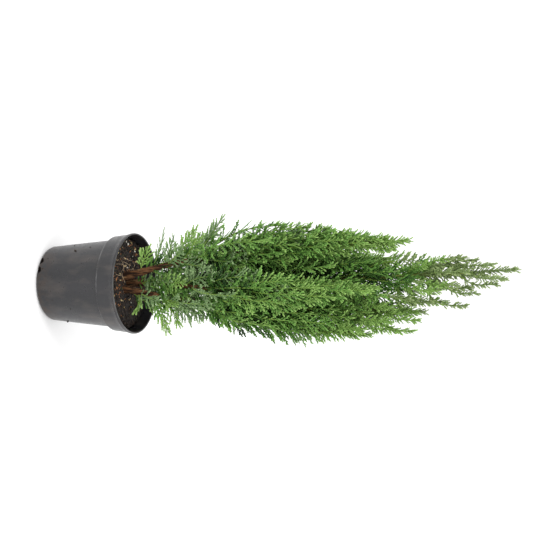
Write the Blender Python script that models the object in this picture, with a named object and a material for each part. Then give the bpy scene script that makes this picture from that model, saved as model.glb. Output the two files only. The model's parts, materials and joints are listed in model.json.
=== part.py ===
"""A young lawson cypress of the upright, many-stemmed garden form, growing in a round nursery pot.

Metres, +Z up. The origin is the middle of the pot's flat underside, and -Y is the side that faces
the viewer. Three stems rise from the compost and four boughs fork from them. Each of these seven
limbs is a leader: a whole tapering limb with masses of foliage round it and one mass on its tip.
A mass is one twig with flat fern-like fronds fused to it, as the sprays of this tree are.
"""

import math
import random
from itertools import combinations

import bmesh
import bpy
from mathutils import Vector, noise
from mathutils.bvhtree import BVHTree

CLEAR = 0.0003  # gap between pieces that touch on the real plant
UP = Vector((0, 0, 1))
SEED = 42

# Pot: a thin tapered plastic pot with a deep collar under a thick lip
POT_HEIGHT = 0.097
RIM_RADIUS = 0.0525
LIP_HEIGHT = 0.0026
LIP_THICK = 0.0017
COLLAR_FOOT_HEIGHT = 0.0755
COLLAR_FOOT_RADIUS = 0.0497
COLLAR_EDGE = 0.0008  # size of the chamfers at the collar's foot and under the lip
WALL_HEAD_RADIUS = 0.0461
WALL_FOOT_RADIUS = 0.0390
CORNER_RADIUS = 0.0042
WALL_THICK = 0.0012
FLOOR_THICK = 0.0016
POT_SEGMENTS = 40
CORNER_STEPS = 3

# Drain holes: pairs of slots through the corner between wall and floor
HOLE_PAIRS = 3
FIRST_PAIR_ANGLE = math.radians(-126.5)
HOLE_SPACING_ANGLE = math.radians(19)
HOLE_HALF_LENGTH = 0.0042
HOLE_HALF_HEIGHT = 0.0019
HOLE_CUT_DEPTH = 0.007
HOLE_SIDES = 10

# Compost: fills the pot to a finger's width under its lip, level under the stems and lumpy outside
COMPOST_TOP = 0.0872
COMPOST_SINK = 0.0022  # how much lower it lies at the wall
COMPOST_LUMP = 0.0026
COMPOST_LUMP_SIZE = 0.012
LEVEL_RADIUS = 0.020
COMPOST_RINGS = 5
COMPOST_SEGMENTS = 24

# Limbs. Each row: name, the limb it forks from, four points that it runs through (foot, knee,
# shoulder and the tip of its foliage), foot radius, how far its longest side shoots reach out,
# bare length above the foot, number of side shoots that carry a mass, and the length under the
# tip in which their reach grows.
LIMBS = (
    ("stem_left", None,
     ((-0.0075, -0.008, 0.0875), (-0.0235, -0.010, 0.160), (-0.034, -0.009, 0.250), (-0.042, -0.008, 0.395)),
     0.0030, 0.072, 0.020, 7, 0.165),
    ("stem_centre", None,
     ((-0.0008, 0.002, 0.0875), (-0.0010, 0.003, 0.180), (-0.0050, 0.003, 0.330), (-0.0140, 0.000, 0.498)),
     0.0034, 0.034, 0.070, 8, 0.065),
    ("stem_right", None,
     ((0.0060, -0.008, 0.0875), (0.0170, -0.004, 0.166), (0.0245, 0.003, 0.282), (0.0270, 0.006, 0.407)),
     0.0029, 0.042, 0.020, 7, 0.100),
    ("bough_front", "stem_centre",
     ((-0.0010, 0.000, 0.122), (0.0040, -0.018, 0.180), (0.0070, -0.026, 0.270), (0.0033, -0.025, 0.368)),
     0.0020, 0.036, 0.015, 6, 0.080),
    ("bough_far_right", "stem_right",
     ((0.0150, -0.005, 0.150), (0.0320, 0.003, 0.205), (0.0440, 0.006, 0.270), (0.0503, 0.005, 0.352)),
     0.0018, 0.019, 0.015, 4, 0.090),
    ("bough_back_left", "stem_left",
     ((-0.0205, -0.010, 0.142), (-0.0230, 0.014, 0.205), (-0.0250, 0.030, 0.270), (-0.0220, 0.034, 0.366)),
     0.0018, 0.038, 0.015, 5, 0.080),
    ("bough_back_right", "stem_centre",
     ((-0.0010, 0.003, 0.150), (0.0110, 0.022, 0.205), (0.0190, 0.034, 0.270), (0.0160, 0.036, 0.348)),
     0.0018, 0.038, 0.015, 5, 0.080),
)
LIMB_SIDES = 7
LIMB_STEPS = 11
LIMB_TIP_RADIUS = 0.0008
LIMB_TAPER_POWER = 0.8
LEADING_SHARE = 0.11  # of a leader's length that is green shoot, above the end of its limb
FLARE = 0.6  # how much wider than the stem its foot is, as a share of the stem's radius
FLARE_HEIGHT = 0.014
FLARE_POWER = 1.4
LINE_STEPS = 60  # pieces that a limb's middle line is measured in

# Side shoots, each a mass of foliage round one twig
FIRST_LEVEL = 0.024  # how far under its limb's tip the highest side shoot ends
LEVEL_POWER = 1.2  # above 1 sets the side shoots closer together near the top
FILLING_POWER = 1.4
WOOD_END = 0.004  # no side shoot springs nearer than this to the end of the limb's wood
GOLDEN_SHARE = 0.618
GOLDEN_ANGLE = math.radians(137.5)
OUTER_SWEEP = math.radians(120)  # an outer leader's shoots keep this near to facing out
MIDDLE_RADIUS = 0.012  # a leader nearer than this to the crown's axis has shoots all round
INWARD_SHARE = 0.70  # a shoot that faces the crown's axis, against one that faces out
FIRST_ANGLE = math.radians(42)  # between a twig and its limb, where it leaves it
LAST_ANGLE = math.radians(6)  # between the twig's end and the vertical
TWIG_RISE = 1.55  # how far a twig climbs along its limb, as a share of its reach
TWIG_LENGTH = 1.55  # as a share of its reach
TWIG_RADIUS = 0.0014
TWIG_TIP_RADIUS = 0.0011
TWIG_SIDES = 3
TWIG_STEPS = 2
TWIG_TRIES = 16
TWIG_TURN = math.radians(11)  # how far a twig with no room is turned for the next try
TWIG_FREE = 0.009  # a twig is tested for room from here on
START_CLEAR = 0.00045  # between a twig's corners and its limb, so that its edges clear it too

# Leading shoots, each the mass on a limb's tip
LEADING_TWIG = 0.62  # as a share of the shoot
LEADING_FROND = 0.42
LEADING_SPREAD = 0.75  # how far its fronds stand out, against those of a side shoot

# Low sprays over the compost: name, limb, distance up it, direction and reach
LOW_SPRAYS = (
    ("low_foliage_left", "stem_left", 0.016, (-0.86, 0.42, 0.28), 0.032),
    ("low_foliage_right", "stem_right", 0.012, (0.93, -0.10, 0.36), 0.040),
)
LOW_TWIG = 0.6
LOW_FROND = 0.62
LOW_SPREAD = 0.8
LOW_RISE = 0.12

# Fronds
FRONDS = 6  # tried on each side shoot, its end one included
LEADING_FRONDS = 6
FROND_TRIES = 4
FROND_LENGTH = 0.038
SHORT_FROND = 0.45  # the shortest, as a share of the longest
FROND_ANGLE = math.radians(44)  # between a frond and its twig
FROND_BEND = 0.14  # how far its tip rises, as a share of its length
END_FROND = 0.98  # where the end frond springs from, as a share of the twig
HIGH_FROND = 0.90
LOW_FROND_SHARE = 0.30
FAN = [math.radians(degrees) for degrees in (62, -62, 5, 105, -105, 20)]  # round the twig
TURN_SLACK = 0.35  # radians, more with each try
FACE_SLACK = 0.9
OWN_SPACE = 0.9  # a frond's middle is this much nearer to its own twig than to any other's
ROOM = 0.0004  # kept free round each frond
ROOT_ROOM = 0.0040  # a frond may cross its neighbours' stalks this near to its root
# Teeth on each side: where each one's foot and tip lie along the frond and how far out its tip is,
# as shares of the frond's length
TOOTH_FOOT = (0.18, 0.48)
TOOTH_HEAD = (0.50, 0.78)
TOOTH_REACH = (0.30, 0.22)
TOOTH_STEP = 0.04  # how much further on the right side's teeth sit
NOTCH_SHARE = 0.66  # how far from a tooth's foot to its tip the notch after it lies
NOTCH_REACH = 0.11  # how far out a notch lies, less towards the frond's tip
STALK_SHARE = 0.13  # of the frond's length that is bare stalk
RIB_THICK = 0.0007
RIB_HALF_WIDTH = 0.0005
ROOT_SUNK = 0.0002  # past the middle of the twig


def clear_scene():
    for obj in list(bpy.data.objects):
        bpy.data.objects.remove(obj)


def finish_of(name, colour, roughness):
    material = bpy.data.materials.new(name)
    material.use_nodes = True
    shader = material.node_tree.nodes["Principled BSDF"]
    shader.inputs["Base Color"].default_value = (*colour, 1)
    shader.inputs["Roughness"].default_value = roughness
    shader.inputs["Metallic"].default_value = 0
    return material


def new_piece(name, points, faces, material):
    mesh = bpy.data.meshes.new(name)
    mesh.from_pydata([tuple(point) for point in points], [], faces)
    mesh.materials.append(material)
    piece = bpy.data.objects.new(name, mesh)
    bpy.context.scene.collection.objects.link(piece)
    return piece


def smooth(piece, sharp_angle):
    piece.data.shade_smooth()
    piece.data.set_sharp_from_angle(angle=sharp_angle)


def triangulate(piece):
    bm = bmesh.new()
    bm.from_mesh(piece.data)
    bmesh.ops.triangulate(bm, faces=bm.faces)
    bm.to_mesh(piece.data)
    bm.free()


def tree_of(points, faces):
    """A search tree for testing whether two closed shapes touch."""
    return BVHTree.FromPolygons([tuple(point) for point in points], faces)


def turned(name, profile, segments, material):
    """A closed solid of revolution. The profile runs from the axis, outside first, back to it."""
    points = []
    for radius, height in profile[1:-1]:
        for i in range(segments):
            angle = 2 * math.pi * i / segments
            points.append((radius * math.cos(angle), radius * math.sin(angle), height))
    low_middle = len(points)
    high_middle = low_middle + 1
    points += [(0, 0, profile[0][1]), (0, 0, profile[-1][1])]
    faces = []
    rings = len(profile) - 2
    for i in range(segments):
        j = (i + 1) % segments
        faces.append((low_middle, j, i))
        for ring in range(rings - 1):
            low, high = ring * segments, (ring + 1) * segments
            faces.append((low + i, low + j, high + j, high + i))
        last = (rings - 1) * segments
        faces.append((last + i, last + j, high_middle))
    return new_piece(name, points, faces, material)


def arc(centre, radius, start, end, steps):
    """Points of a round stretch of a profile between two angles in degrees, ends included."""
    angles = [math.radians(start + (end - start) * i / steps) for i in range(steps + 1)]
    return [(centre[0] + radius * math.cos(a), centre[1] + radius * math.sin(a)) for a in angles]


def wall_radius(height):
    """Outside radius of the tapered wall under the collar."""
    share = height / COLLAR_FOOT_HEIGHT
    return WALL_FOOT_RADIUS + (WALL_HEAD_RADIUS - WALL_FOOT_RADIUS) * share


def inner_radius(height):
    return wall_radius(height) - WALL_THICK


def make_pot(material):
    corner = (wall_radius(CORNER_RADIUS) - CORNER_RADIUS, CORNER_RADIUS)
    outside = [(0, 0), *arc(corner, CORNER_RADIUS, -90, 0, CORNER_STEPS)]
    outside += [
        (WALL_HEAD_RADIUS, COLLAR_FOOT_HEIGHT),
        (COLLAR_FOOT_RADIUS - COLLAR_EDGE, COLLAR_FOOT_HEIGHT + COLLAR_EDGE / 2),
        (COLLAR_FOOT_RADIUS, COLLAR_FOOT_HEIGHT + 2 * COLLAR_EDGE),
        (RIM_RADIUS - COLLAR_EDGE, POT_HEIGHT - LIP_HEIGHT),
        (RIM_RADIUS, POT_HEIGHT - LIP_HEIGHT / 2),
        (RIM_RADIUS - LIP_THICK / 4, POT_HEIGHT),
    ]
    step_top = COLLAR_FOOT_HEIGHT + WALL_THICK
    inside = [
        (RIM_RADIUS - LIP_THICK, POT_HEIGHT),
        (RIM_RADIUS - LIP_THICK, POT_HEIGHT - LIP_HEIGHT),
        (COLLAR_FOOT_RADIUS - WALL_THICK, step_top + COLLAR_EDGE),
        (WALL_HEAD_RADIUS - WALL_THICK, step_top - COLLAR_EDGE),
    ]
    inner_corner = CORNER_RADIUS - WALL_THICK
    inner_centre = (inner_radius(CORNER_RADIUS) - inner_corner, FLOOR_THICK + inner_corner)
    inside += [*arc(inner_centre, inner_corner, 0, -90, CORNER_STEPS - 1), (0, FLOOR_THICK)]
    pot = turned("pot", outside + inside, POT_SEGMENTS, material)
    smooth(pot, math.radians(35))
    for number in range(2 * HOLE_PAIRS):
        pair, side = divmod(number, 2)
        angle = FIRST_PAIR_ANGLE + 2 * math.pi * pair / HOLE_PAIRS + HOLE_SPACING_ANGLE * side
        cut_hole(pot, number, angle, corner)


def cut_hole(pot, number, angle, corner):
    """One slot through the pot's corner, aimed down and out at half a right angle."""
    outward = Vector((math.cos(angle), math.sin(angle), 0))
    aim = (outward - UP).normalized()
    along = outward.cross(UP)
    across = aim.cross(along)
    middle = outward * corner[0] + UP * corner[1] + aim * CORNER_RADIUS
    bm = bmesh.new()
    bmesh.ops.create_cone(
        bm, cap_ends=True, segments=HOLE_SIDES, radius1=1, radius2=1, depth=2 * HOLE_CUT_DEPTH
    )
    for vertex in bm.verts:
        x, y, z = vertex.co
        vertex.co = middle + along * x * HOLE_HALF_LENGTH + across * y * HOLE_HALF_HEIGHT + aim * z
    mesh = bpy.data.meshes.new(f"hole_cutter_{number}")
    bm.to_mesh(mesh)
    bm.free()
    cutter = bpy.data.objects.new(mesh.name, mesh)
    cutter.hide_render = True
    cutter.display_type = "WIRE"
    bpy.context.scene.collection.objects.link(cutter)
    cut = pot.modifiers.new(mesh.name, "BOOLEAN")
    cut.operation = "DIFFERENCE"
    cut.object = cutter


def make_compost(material):
    """The body of compost, clear of the pot all round, with a top that is lumpy near the wall."""
    slack = 2 * CLEAR
    step_top = COLLAR_FOOT_HEIGHT + WALL_THICK
    edge = COLLAR_FOOT_RADIUS - WALL_THICK - slack
    profile = [
        (0, FLOOR_THICK + CLEAR),
        (inner_radius(0) - CORNER_RADIUS, FLOOR_THICK + CLEAR),
        (inner_radius(0) - slack, FLOOR_THICK + CORNER_RADIUS),
        (inner_radius(COLLAR_FOOT_HEIGHT) - slack, step_top),
        (edge, step_top + 3 * COLLAR_EDGE),
        (edge, COMPOST_TOP - 2 * COMPOST_SINK),
    ]
    for i in range(COMPOST_RINGS):
        share = 1 - (i + 0.3) / (COMPOST_RINGS + 0.3)
        profile.append((edge * share, COMPOST_TOP))
    profile.append((0, COMPOST_TOP))
    compost = turned("compost", profile, COMPOST_SEGMENTS, material)
    for vertex in compost.data.vertices:
        point = vertex.co
        share = (math.hypot(point.x, point.y) - LEVEL_RADIUS) / (edge - LEVEL_RADIUS)
        if share > 0 and point.z > COMPOST_TOP - COMPOST_SINK:
            lump = noise.noise(point / COMPOST_LUMP_SIZE) * COMPOST_LUMP
            point.z += share * (lump - COMPOST_SINK)
    smooth(compost, math.radians(60))


def curve_through(points, t):
    """A smooth curve through four points, with t from 0 to 1, and its direction there."""
    a, b, c, d = (Vector(point) for point in points)
    knots = [2 * a - b, a, b, c, d, 2 * d - c]
    place = min(max(t, 0), 1) * 3
    i = min(int(place), 2)
    u = place - i
    p0, p1, p2, p3 = knots[i : i + 4]
    bend = 2 * p0 - 5 * p1 + 4 * p2 - p3
    swing = 3 * p1 - p0 - 3 * p2 + p3
    point = 0.5 * (2 * p1 + (p2 - p0) * u + bend * u**2 + swing * u**3)
    heading = 0.5 * ((p2 - p0) + 2 * bend * u + 3 * swing * u**2)
    return point, heading.normalized()


def frame_about(heading):
    """Two directions square to a heading and to each other."""
    aside = heading.cross(Vector((0, 1, 0)))
    if aside.length < 0.2:
        aside = heading.cross(Vector((1, 0, 0)))
    aside.normalize()
    return aside, heading.cross(aside)


class Limb:
    """A leader: a stem from the compost, or a bough forked from one."""

    def __init__(self, row, parent):
        self.name, _, self.points, self.radius, self.shoot, self.bare, self.count, self.filling = row
        self.parent = parent
        line = [curve_through(self.points, i / LINE_STEPS)[0] for i in range(LINE_STEPS + 1)]
        self.along = [0.0]
        for a, b in zip(line, line[1:]):
            self.along.append(self.along[-1] + (b - a).length)
        self.length = self.along[-1]
        self.wood = self.length * (1 - LEADING_SHARE)

    def at(self, distance):
        """Point and direction at a distance along the limb from its foot."""
        i = 0
        while i < LINE_STEPS - 1 and distance > self.along[i + 1]:
            i += 1
        share = (distance - self.along[i]) / (self.along[i + 1] - self.along[i])
        return curve_through(self.points, (i + share) / LINE_STEPS)

    def radius_at(self, distance):
        share = min(1, max(0, distance / self.wood))
        radius = LIMB_TIP_RADIUS + (self.radius - LIMB_TIP_RADIUS) * (1 - share) ** LIMB_TAPER_POWER
        if self.parent is None:
            radius *= 1 + FLARE * math.exp(-((distance / FLARE_HEIGHT) ** FLARE_POWER))
        return radius

    def clearance(self, point):
        """How far a point is outside the limb's surface, less than nothing inside it."""
        nearest, normal, _, distance = self.tree.find_nearest(point)
        return distance if (point - nearest).dot(normal) > 0 else -distance


def clear_starts(course, radius, sides, limb, gap):
    """For each corner of a tube that starts inside a limb, how far along it has come clear."""
    step = CLEAR / 3

    def corners(starts):
        return [tube_corner(course, start, radius, sides, k) for k, start in enumerate(starts)]

    starts = []
    for k in range(sides):
        distance = 0.0
        while limb.clearance(tube_corner(course, distance, radius, sides, k)) < gap:
            distance += step
        starts.append(distance)
    while any(limb.clearance(a.lerp(b, 0.5)) < gap for a, b in combinations(corners(starts), 2)):
        starts = [start + step for start in starts]
    return starts


def tube_corner(course, distance, radius, sides, k):
    point, heading = course(distance)
    aside, up = frame_about(heading)
    angle = 2 * math.pi * k / sides
    return point + (aside * math.cos(angle) + up * math.sin(angle)) * radius


def tube(course, start, length, radius_at, sides, steps, starts=None):
    """Points and faces of a tapering tube with closed ends. Starts says where its corners begin."""
    starts = starts or [start] * sides
    begin = max(starts)
    points, faces = [], []
    for step in range(steps + 1):
        for k in range(sides):
            distance = begin + (length - begin) * step / steps if step else starts[k]
            points.append(tube_corner(course, distance, radius_at(distance), sides, k))
    for step in range(steps):
        low, high = step * sides, (step + 1) * sides
        for k in range(sides):
            j = (k + 1) % sides
            faces.append((low + k, low + j, high + j, high + k))
    faces.append(tuple(reversed(range(sides))))
    faces.append(tuple(range(steps * sides, (steps + 1) * sides)))
    return points, faces


def make_limb(limb, material):
    starts = None
    if limb.parent:
        starts = clear_starts(limb.at, limb.radius, LIMB_SIDES, limb.parent, CLEAR)
    points, faces = tube(limb.at, 0, limb.wood, limb.radius_at, LIMB_SIDES, LIMB_STEPS, starts)
    if not limb.parent:
        for point in points[:LIMB_SIDES]:
            point.z = limb.points[0][2]
    limb.tree = tree_of(points, faces)
    piece = new_piece(limb.name, points, faces, material)
    triangulate(piece)
    smooth(piece, math.radians(60))


class Mass:
    """One mass of foliage: a twig, and the fronds on it."""

    def __init__(self, name, limb, start, first, later, length, frond_length, spread, fronds):
        self.name, self.limb, self.start = name, limb, start
        self.first, self.later, self.length = first, later, length
        self.frond_length, self.spread, self.fronds = frond_length, spread, fronds
        self.leading = first == later
        starts = None
        if not self.leading:
            starts = clear_starts(self.course, TWIG_RADIUS, TWIG_SIDES, limb, START_CLEAR)
        self.pieces = [
            tube(self.course, 0, length, self.radius_at, TWIG_SIDES, TWIG_STEPS, starts)
        ]
        self.trees = [tree_of(*self.pieces[0])]

    def course(self, distance):
        """Point and direction along the twig, which bends from its first direction to a later one."""
        share = distance / self.length
        heading = self.first.lerp(self.later, share).normalized()
        middle = self.first.lerp(self.later, share / 2).normalized()
        return self.start + middle * distance, heading

    def radius_at(self, distance):
        return TWIG_RADIUS + (TWIG_TIP_RADIUS - TWIG_RADIUS) * min(1, distance / self.length)

    def far_from(self, point):
        """How far a point is from the twig."""
        return min((self.course(self.length * i / 4)[0] - point).length for i in range(5))

    def twig_has_room(self):
        def radius(distance):
            return self.radius_at(distance) + ROOM

        trial = tree_of(*tube(self.course, TWIG_FREE, self.length, radius, TWIG_SIDES, TWIG_STEPS))
        others = solid_trees + [mass.trees[0] for mass in masses]
        return not any(trial.overlap(tree) or self.trees[0].overlap(tree) for tree in others)

    def frond_has_room(self, root, heading, side, length):
        """True if a frond there keeps to the mass's own space and touches nothing but its twig."""
        middle = root + heading * length / 2
        own = self.far_from(middle) * OWN_SPACE
        others = [mass for mass in masses if mass is not self]
        if any(other.far_from(middle) < own for other in others):
            return False
        trial = tree_of(*frond(root, heading, side, length, ROOM))
        if any(trial.overlap(tree) for tree in solid_trees):
            return False
        if any(trial.overlap(tree) for other in others for tree in other.trees):
            return False
        outer_root = root + heading * ROOT_ROOM
        outer = tree_of(*frond(outer_root, heading, side, length - ROOT_ROOM))
        return not any(outer.overlap(tree) for tree in self.trees[1:])

    def stations(self):
        """Where fronds spring from the twig: share of its length, angle round it, and lean."""
        yield END_FROND, 0.0, 0.0
        outward = self.first - self.later * self.first.dot(self.later)
        for i in range(self.fronds - 1):
            share = HIGH_FROND - (HIGH_FROND - LOW_FROND_SHARE) * i / (self.fronds - 2)
            angle = GOLDEN_ANGLE * i
            if not self.leading:
                aside, up = frame_about(self.course(self.length * share)[1])
                angle = math.atan2(outward.dot(up), outward.dot(aside)) + FAN[i % len(FAN)]
            yield share, angle, FROND_ANGLE * self.spread

    def grow_fronds(self, rng):
        """Adds the fronds that find room: each is tried a few times, turned and shortened."""
        for share, angle, lean in self.stations():
            root, twig_heading = self.course(self.length * share)
            aside, up = frame_about(twig_heading)
            for attempt in range(FROND_TRIES):
                turn = angle + rng.uniform(-TURN_SLACK, TURN_SLACK) * (1 + attempt)
                tilt = lean * rng.uniform(0.85, 1.15)
                away = aside * math.cos(turn) + up * math.sin(turn)
                heading = (twig_heading * math.cos(tilt) + away * math.sin(tilt)).normalized()
                length = self.frond_length * rng.uniform(0.85, 1.05) * (1 - 0.1 * attempt)
                side = teeth_side(heading, rng)
                if self.frond_has_room(root, heading, side, length):
                    piece = frond(root, heading, side, length)
                    self.pieces.append(piece)
                    self.trees.append(tree_of(*piece))
                    break


def teeth_side(heading, rng):
    """The way that a frond's teeth point: mostly round the tree, so that its face looks outwards."""
    aside, up = frame_about(heading)
    angle = rng.uniform(-FACE_SLACK, FACE_SLACK)
    return aside * math.cos(angle) + up * math.sin(angle)


def frond(root, heading, side, length, grown=0.0):
    """Points and faces of a flat frond with forward-swept teeth on each side: flat below, ridged
    along its rib above. Grown makes it larger all round, for trying whether it has room."""
    normal = heading.cross(side).normalized()
    side = normal.cross(heading).normalized()
    lift = UP - heading * heading.dot(UP)
    half = RIB_HALF_WIDTH + grown
    thick = RIB_THICK + 2 * grown
    step = length * TOOTH_STEP
    points = []

    def add(along, across, proud):
        bend = lift * (FROND_BEND * length * max(0.0, along / length) ** 2)
        points.append(root + heading * along + bend + side * across + normal * proud)
        return len(points) - 1

    def add_pair(along, across, right_step=0.0):
        return add(along, -across, -grown), add(along + right_step, across, -grown)

    edges = [add_pair(-ROOT_SUNK, half), add_pair(length * STALK_SHARE, half)]
    ridge = [add(-ROOT_SUNK, 0, thick)]
    teeth = []
    for foot, head, reach in zip(TOOTH_FOOT, TOOTH_HEAD, TOOTH_REACH):
        notch = foot + (head - foot) * NOTCH_SHARE
        notch_reach = NOTCH_REACH * (1 - head / 2)
        ridge.append(add(length * foot, 0, thick))
        teeth.append(add_pair(length * head, length * reach + grown, step))
        edges.append(add_pair(length * notch, length * notch_reach + grown, step))
    tip = add(length + grown, 0, 0)
    faces = [(edges[0][0], ridge[0], edges[0][1])]
    for i, ((left, right), (next_left, next_right)) in enumerate(zip(edges, edges[1:])):
        top, last_top = ridge[max(i, 1)], ridge[max(i, 1) - 1]
        faces += [(left, right, next_right), (left, next_right, next_left)]
        if i != 1:
            faces += [(left, top, last_top), (right, last_top, top)]
        if i == 0:
            faces += [(left, next_left, top), (next_right, right, top)]
        else:
            left_tooth, right_tooth = teeth[i - 1]
            faces += [(left, left_tooth, top), (left_tooth, next_left, top)]
            faces += [(right_tooth, right, top), (next_right, right_tooth, top)]
            faces += [(next_left, left_tooth, left), (right, right_tooth, next_right)]
    left, right = edges[-1]
    faces += [(left, tip, ridge[-1]), (tip, right, ridge[-1]), (left, right, tip)]
    return points, faces


def side_shoot(limb, i, turn):
    """The mass on the limb's side shoot number i, counted from the top, turned by an angle."""
    crown_out = Vector(limb.points[2])
    crown_out.z = 0
    lowest = limb.length - limb.bare - TWIG_RISE * limb.shoot
    level = FIRST_LEVEL + (lowest - FIRST_LEVEL) * (i / (limb.count - 1)) ** LEVEL_POWER
    if crown_out.length > MIDDLE_RADIUS:
        sweep = 2 * ((0.5 + GOLDEN_SHARE * i) % 1) - 1
        angle = math.atan2(crown_out.y, crown_out.x) + OUTER_SWEEP * sweep + turn
        facing = max(0.0, math.cos(OUTER_SWEEP * sweep + turn))
    else:
        angle = GOLDEN_ANGLE * i + turn
        facing = 1.0
    grown = 1 - math.exp(-((level / limb.filling) ** FILLING_POWER))
    reach = limb.shoot * grown * (INWARD_SHARE + (1 - INWARD_SHARE) * facing)
    start, heading = limb.at(min(limb.length - level - TWIG_RISE * reach, limb.wood - WOOD_END))
    away = Vector((math.cos(angle), math.sin(angle), 0))
    away = (away - heading * away.dot(heading)).normalized()
    first = heading * math.cos(FIRST_ANGLE) + away * math.sin(FIRST_ANGLE)
    later = UP * math.cos(LAST_ANGLE) + away * math.sin(LAST_ANGLE)
    name = f"{limb.name.split('_', 1)[1]}_foliage_{i + 1}"
    frond_length = FROND_LENGTH * (SHORT_FROND + (1 - SHORT_FROND) * min(1, reach / FROND_LENGTH))
    return Mass(name, limb, start, first, later, reach * TWIG_LENGTH, frond_length, 1.0, FRONDS)


def side_shoots(limb):
    """The masses round one leader. A twig that has no room is turned a little, one way and the other."""
    for i in range(limb.count):
        for attempt in range(TWIG_TRIES):
            way = (attempt + 1) // 2 * (-1 if attempt % 2 else 1)
            mass = side_shoot(limb, i, TWIG_TURN * way)
            if mass.twig_has_room():
                masses.append(mass)
                break


def leading_shoot(limb):
    """The mass on a limb's tip."""
    end, heading = limb.at(limb.wood)
    shoot = limb.length - limb.wood
    name = f"{limb.name.split('_', 1)[1]}_foliage_tip"
    start = end + heading * CLEAR
    masses.append(
        Mass(name, limb, start, heading, heading, shoot * LEADING_TWIG, shoot * LEADING_FROND,
             LEADING_SPREAD, LEADING_FRONDS)
    )


def low_spray(name, limb, distance, way, reach):
    first = Vector(way).normalized()
    start = limb.at(distance)[0]
    later = first.lerp(UP, LOW_RISE)
    masses.append(
        Mass(name, limb, start, first, later, reach * LOW_TWIG, reach * LOW_FROND, LOW_SPREAD, FRONDS)
    )


def fuse(mass, material):
    """Joins a mass's twig and fronds into one solid by one Boolean union."""
    twig, *fronds = mass.pieces
    body = new_piece(mass.name, *twig, material)
    triangulate(body)
    collection = bpy.data.collections.new(mass.name)
    bpy.context.scene.collection.children.link(collection)
    for number, (points, faces) in enumerate(fronds):
        piece = new_piece(f"{mass.name}_frond_{number}", points, faces, material)
        bpy.context.scene.collection.objects.unlink(piece)
        collection.objects.link(piece)
    join = body.modifiers.new("join", "BOOLEAN")
    join.operation = "UNION"
    join.operand_type = "COLLECTION"
    join.collection = collection
    for solver in ("EXACT", "MANIFOLD"):
        join.solver = solver
        bpy.context.view_layer.update()
        evaluated = body.evaluated_get(bpy.context.evaluated_depsgraph_get())
        joined = bpy.data.meshes.new_from_object(evaluated)
        if keep_largest(joined):
            break
    body.modifiers.remove(join)
    body.data = joined
    for piece in list(collection.objects):
        bpy.data.objects.remove(piece)
    bpy.data.collections.remove(collection)


def keep_largest(mesh):
    """Drops loose scraps and fills sealed hollows, by keeping only the mesh's largest skin. Says
    whether that skin is closed."""
    bm = bmesh.new()
    bm.from_mesh(mesh)
    left = set(bm.verts)
    skins = []
    while left:
        first = left.pop()
        skin, front = set(), [first]
        while front:
            vertex = front.pop()
            skin.add(vertex)
            near = {edge.other_vert(vertex) for edge in vertex.link_edges} & left
            left -= near
            front += near
        skins.append(skin)
    skins.sort(key=len)
    bmesh.ops.delete(bm, geom=[v for skin in skins[:-1] for v in skin], context="VERTS")
    closed = bool(bm.verts) and all(len(edge.link_faces) == 2 for edge in bm.edges)
    bm.to_mesh(mesh)
    bm.free()
    return closed


clear_scene()
plastic = finish_of("pot_plastic", (0.075, 0.072, 0.074), 0.45)
peat = finish_of("compost", (0.045, 0.028, 0.018), 0.95)
bark = finish_of("bark", (0.17, 0.075, 0.04), 0.85)
greens = finish_of("foliage", (0.10, 0.20, 0.06), 0.60)

make_pot(plastic)
make_compost(peat)

limbs = {}
for row in LIMBS:
    limbs[row[0]] = Limb(row, limbs.get(row[1]))
    make_limb(limbs[row[0]], bark)

solid_trees = []
for name in ("pot", "compost", *limbs):
    mesh = bpy.data.objects[name].data
    solid_trees.append(tree_of([v.co for v in mesh.vertices], [tuple(p.vertices) for p in mesh.polygons]))

masses = []
for name, limb_name, distance, way, reach in LOW_SPRAYS:
    low_spray(name, limbs[limb_name], distance, way, reach)
for limb in limbs.values():
    leading_shoot(limb)
    side_shoots(limb)
for number, mass in enumerate(masses):
    mass.grow_fronds(random.Random(SEED + number))
for mass in masses:
    fuse(mass, greens)
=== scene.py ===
"""A young lawson cypress in its nursery pot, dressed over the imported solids. Metres, +Z up."""

import json
import math
import random

import bmesh
import bpy
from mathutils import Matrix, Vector, noise

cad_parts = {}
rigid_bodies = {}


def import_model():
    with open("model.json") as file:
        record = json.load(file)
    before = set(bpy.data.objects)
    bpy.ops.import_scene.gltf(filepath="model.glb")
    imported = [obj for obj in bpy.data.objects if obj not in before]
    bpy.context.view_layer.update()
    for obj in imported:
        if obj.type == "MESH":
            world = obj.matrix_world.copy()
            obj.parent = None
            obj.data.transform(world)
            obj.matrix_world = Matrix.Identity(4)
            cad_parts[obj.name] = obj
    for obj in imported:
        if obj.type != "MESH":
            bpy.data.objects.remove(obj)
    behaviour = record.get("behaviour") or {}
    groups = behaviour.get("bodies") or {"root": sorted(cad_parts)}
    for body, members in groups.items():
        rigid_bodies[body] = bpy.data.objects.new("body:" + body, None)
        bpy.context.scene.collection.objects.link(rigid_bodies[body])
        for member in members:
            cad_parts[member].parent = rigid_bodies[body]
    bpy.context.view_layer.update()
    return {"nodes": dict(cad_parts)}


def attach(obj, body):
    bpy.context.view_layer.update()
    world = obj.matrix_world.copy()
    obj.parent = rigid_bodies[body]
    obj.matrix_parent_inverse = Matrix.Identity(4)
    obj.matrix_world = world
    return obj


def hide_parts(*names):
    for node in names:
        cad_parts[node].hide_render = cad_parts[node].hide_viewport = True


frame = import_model()

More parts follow.
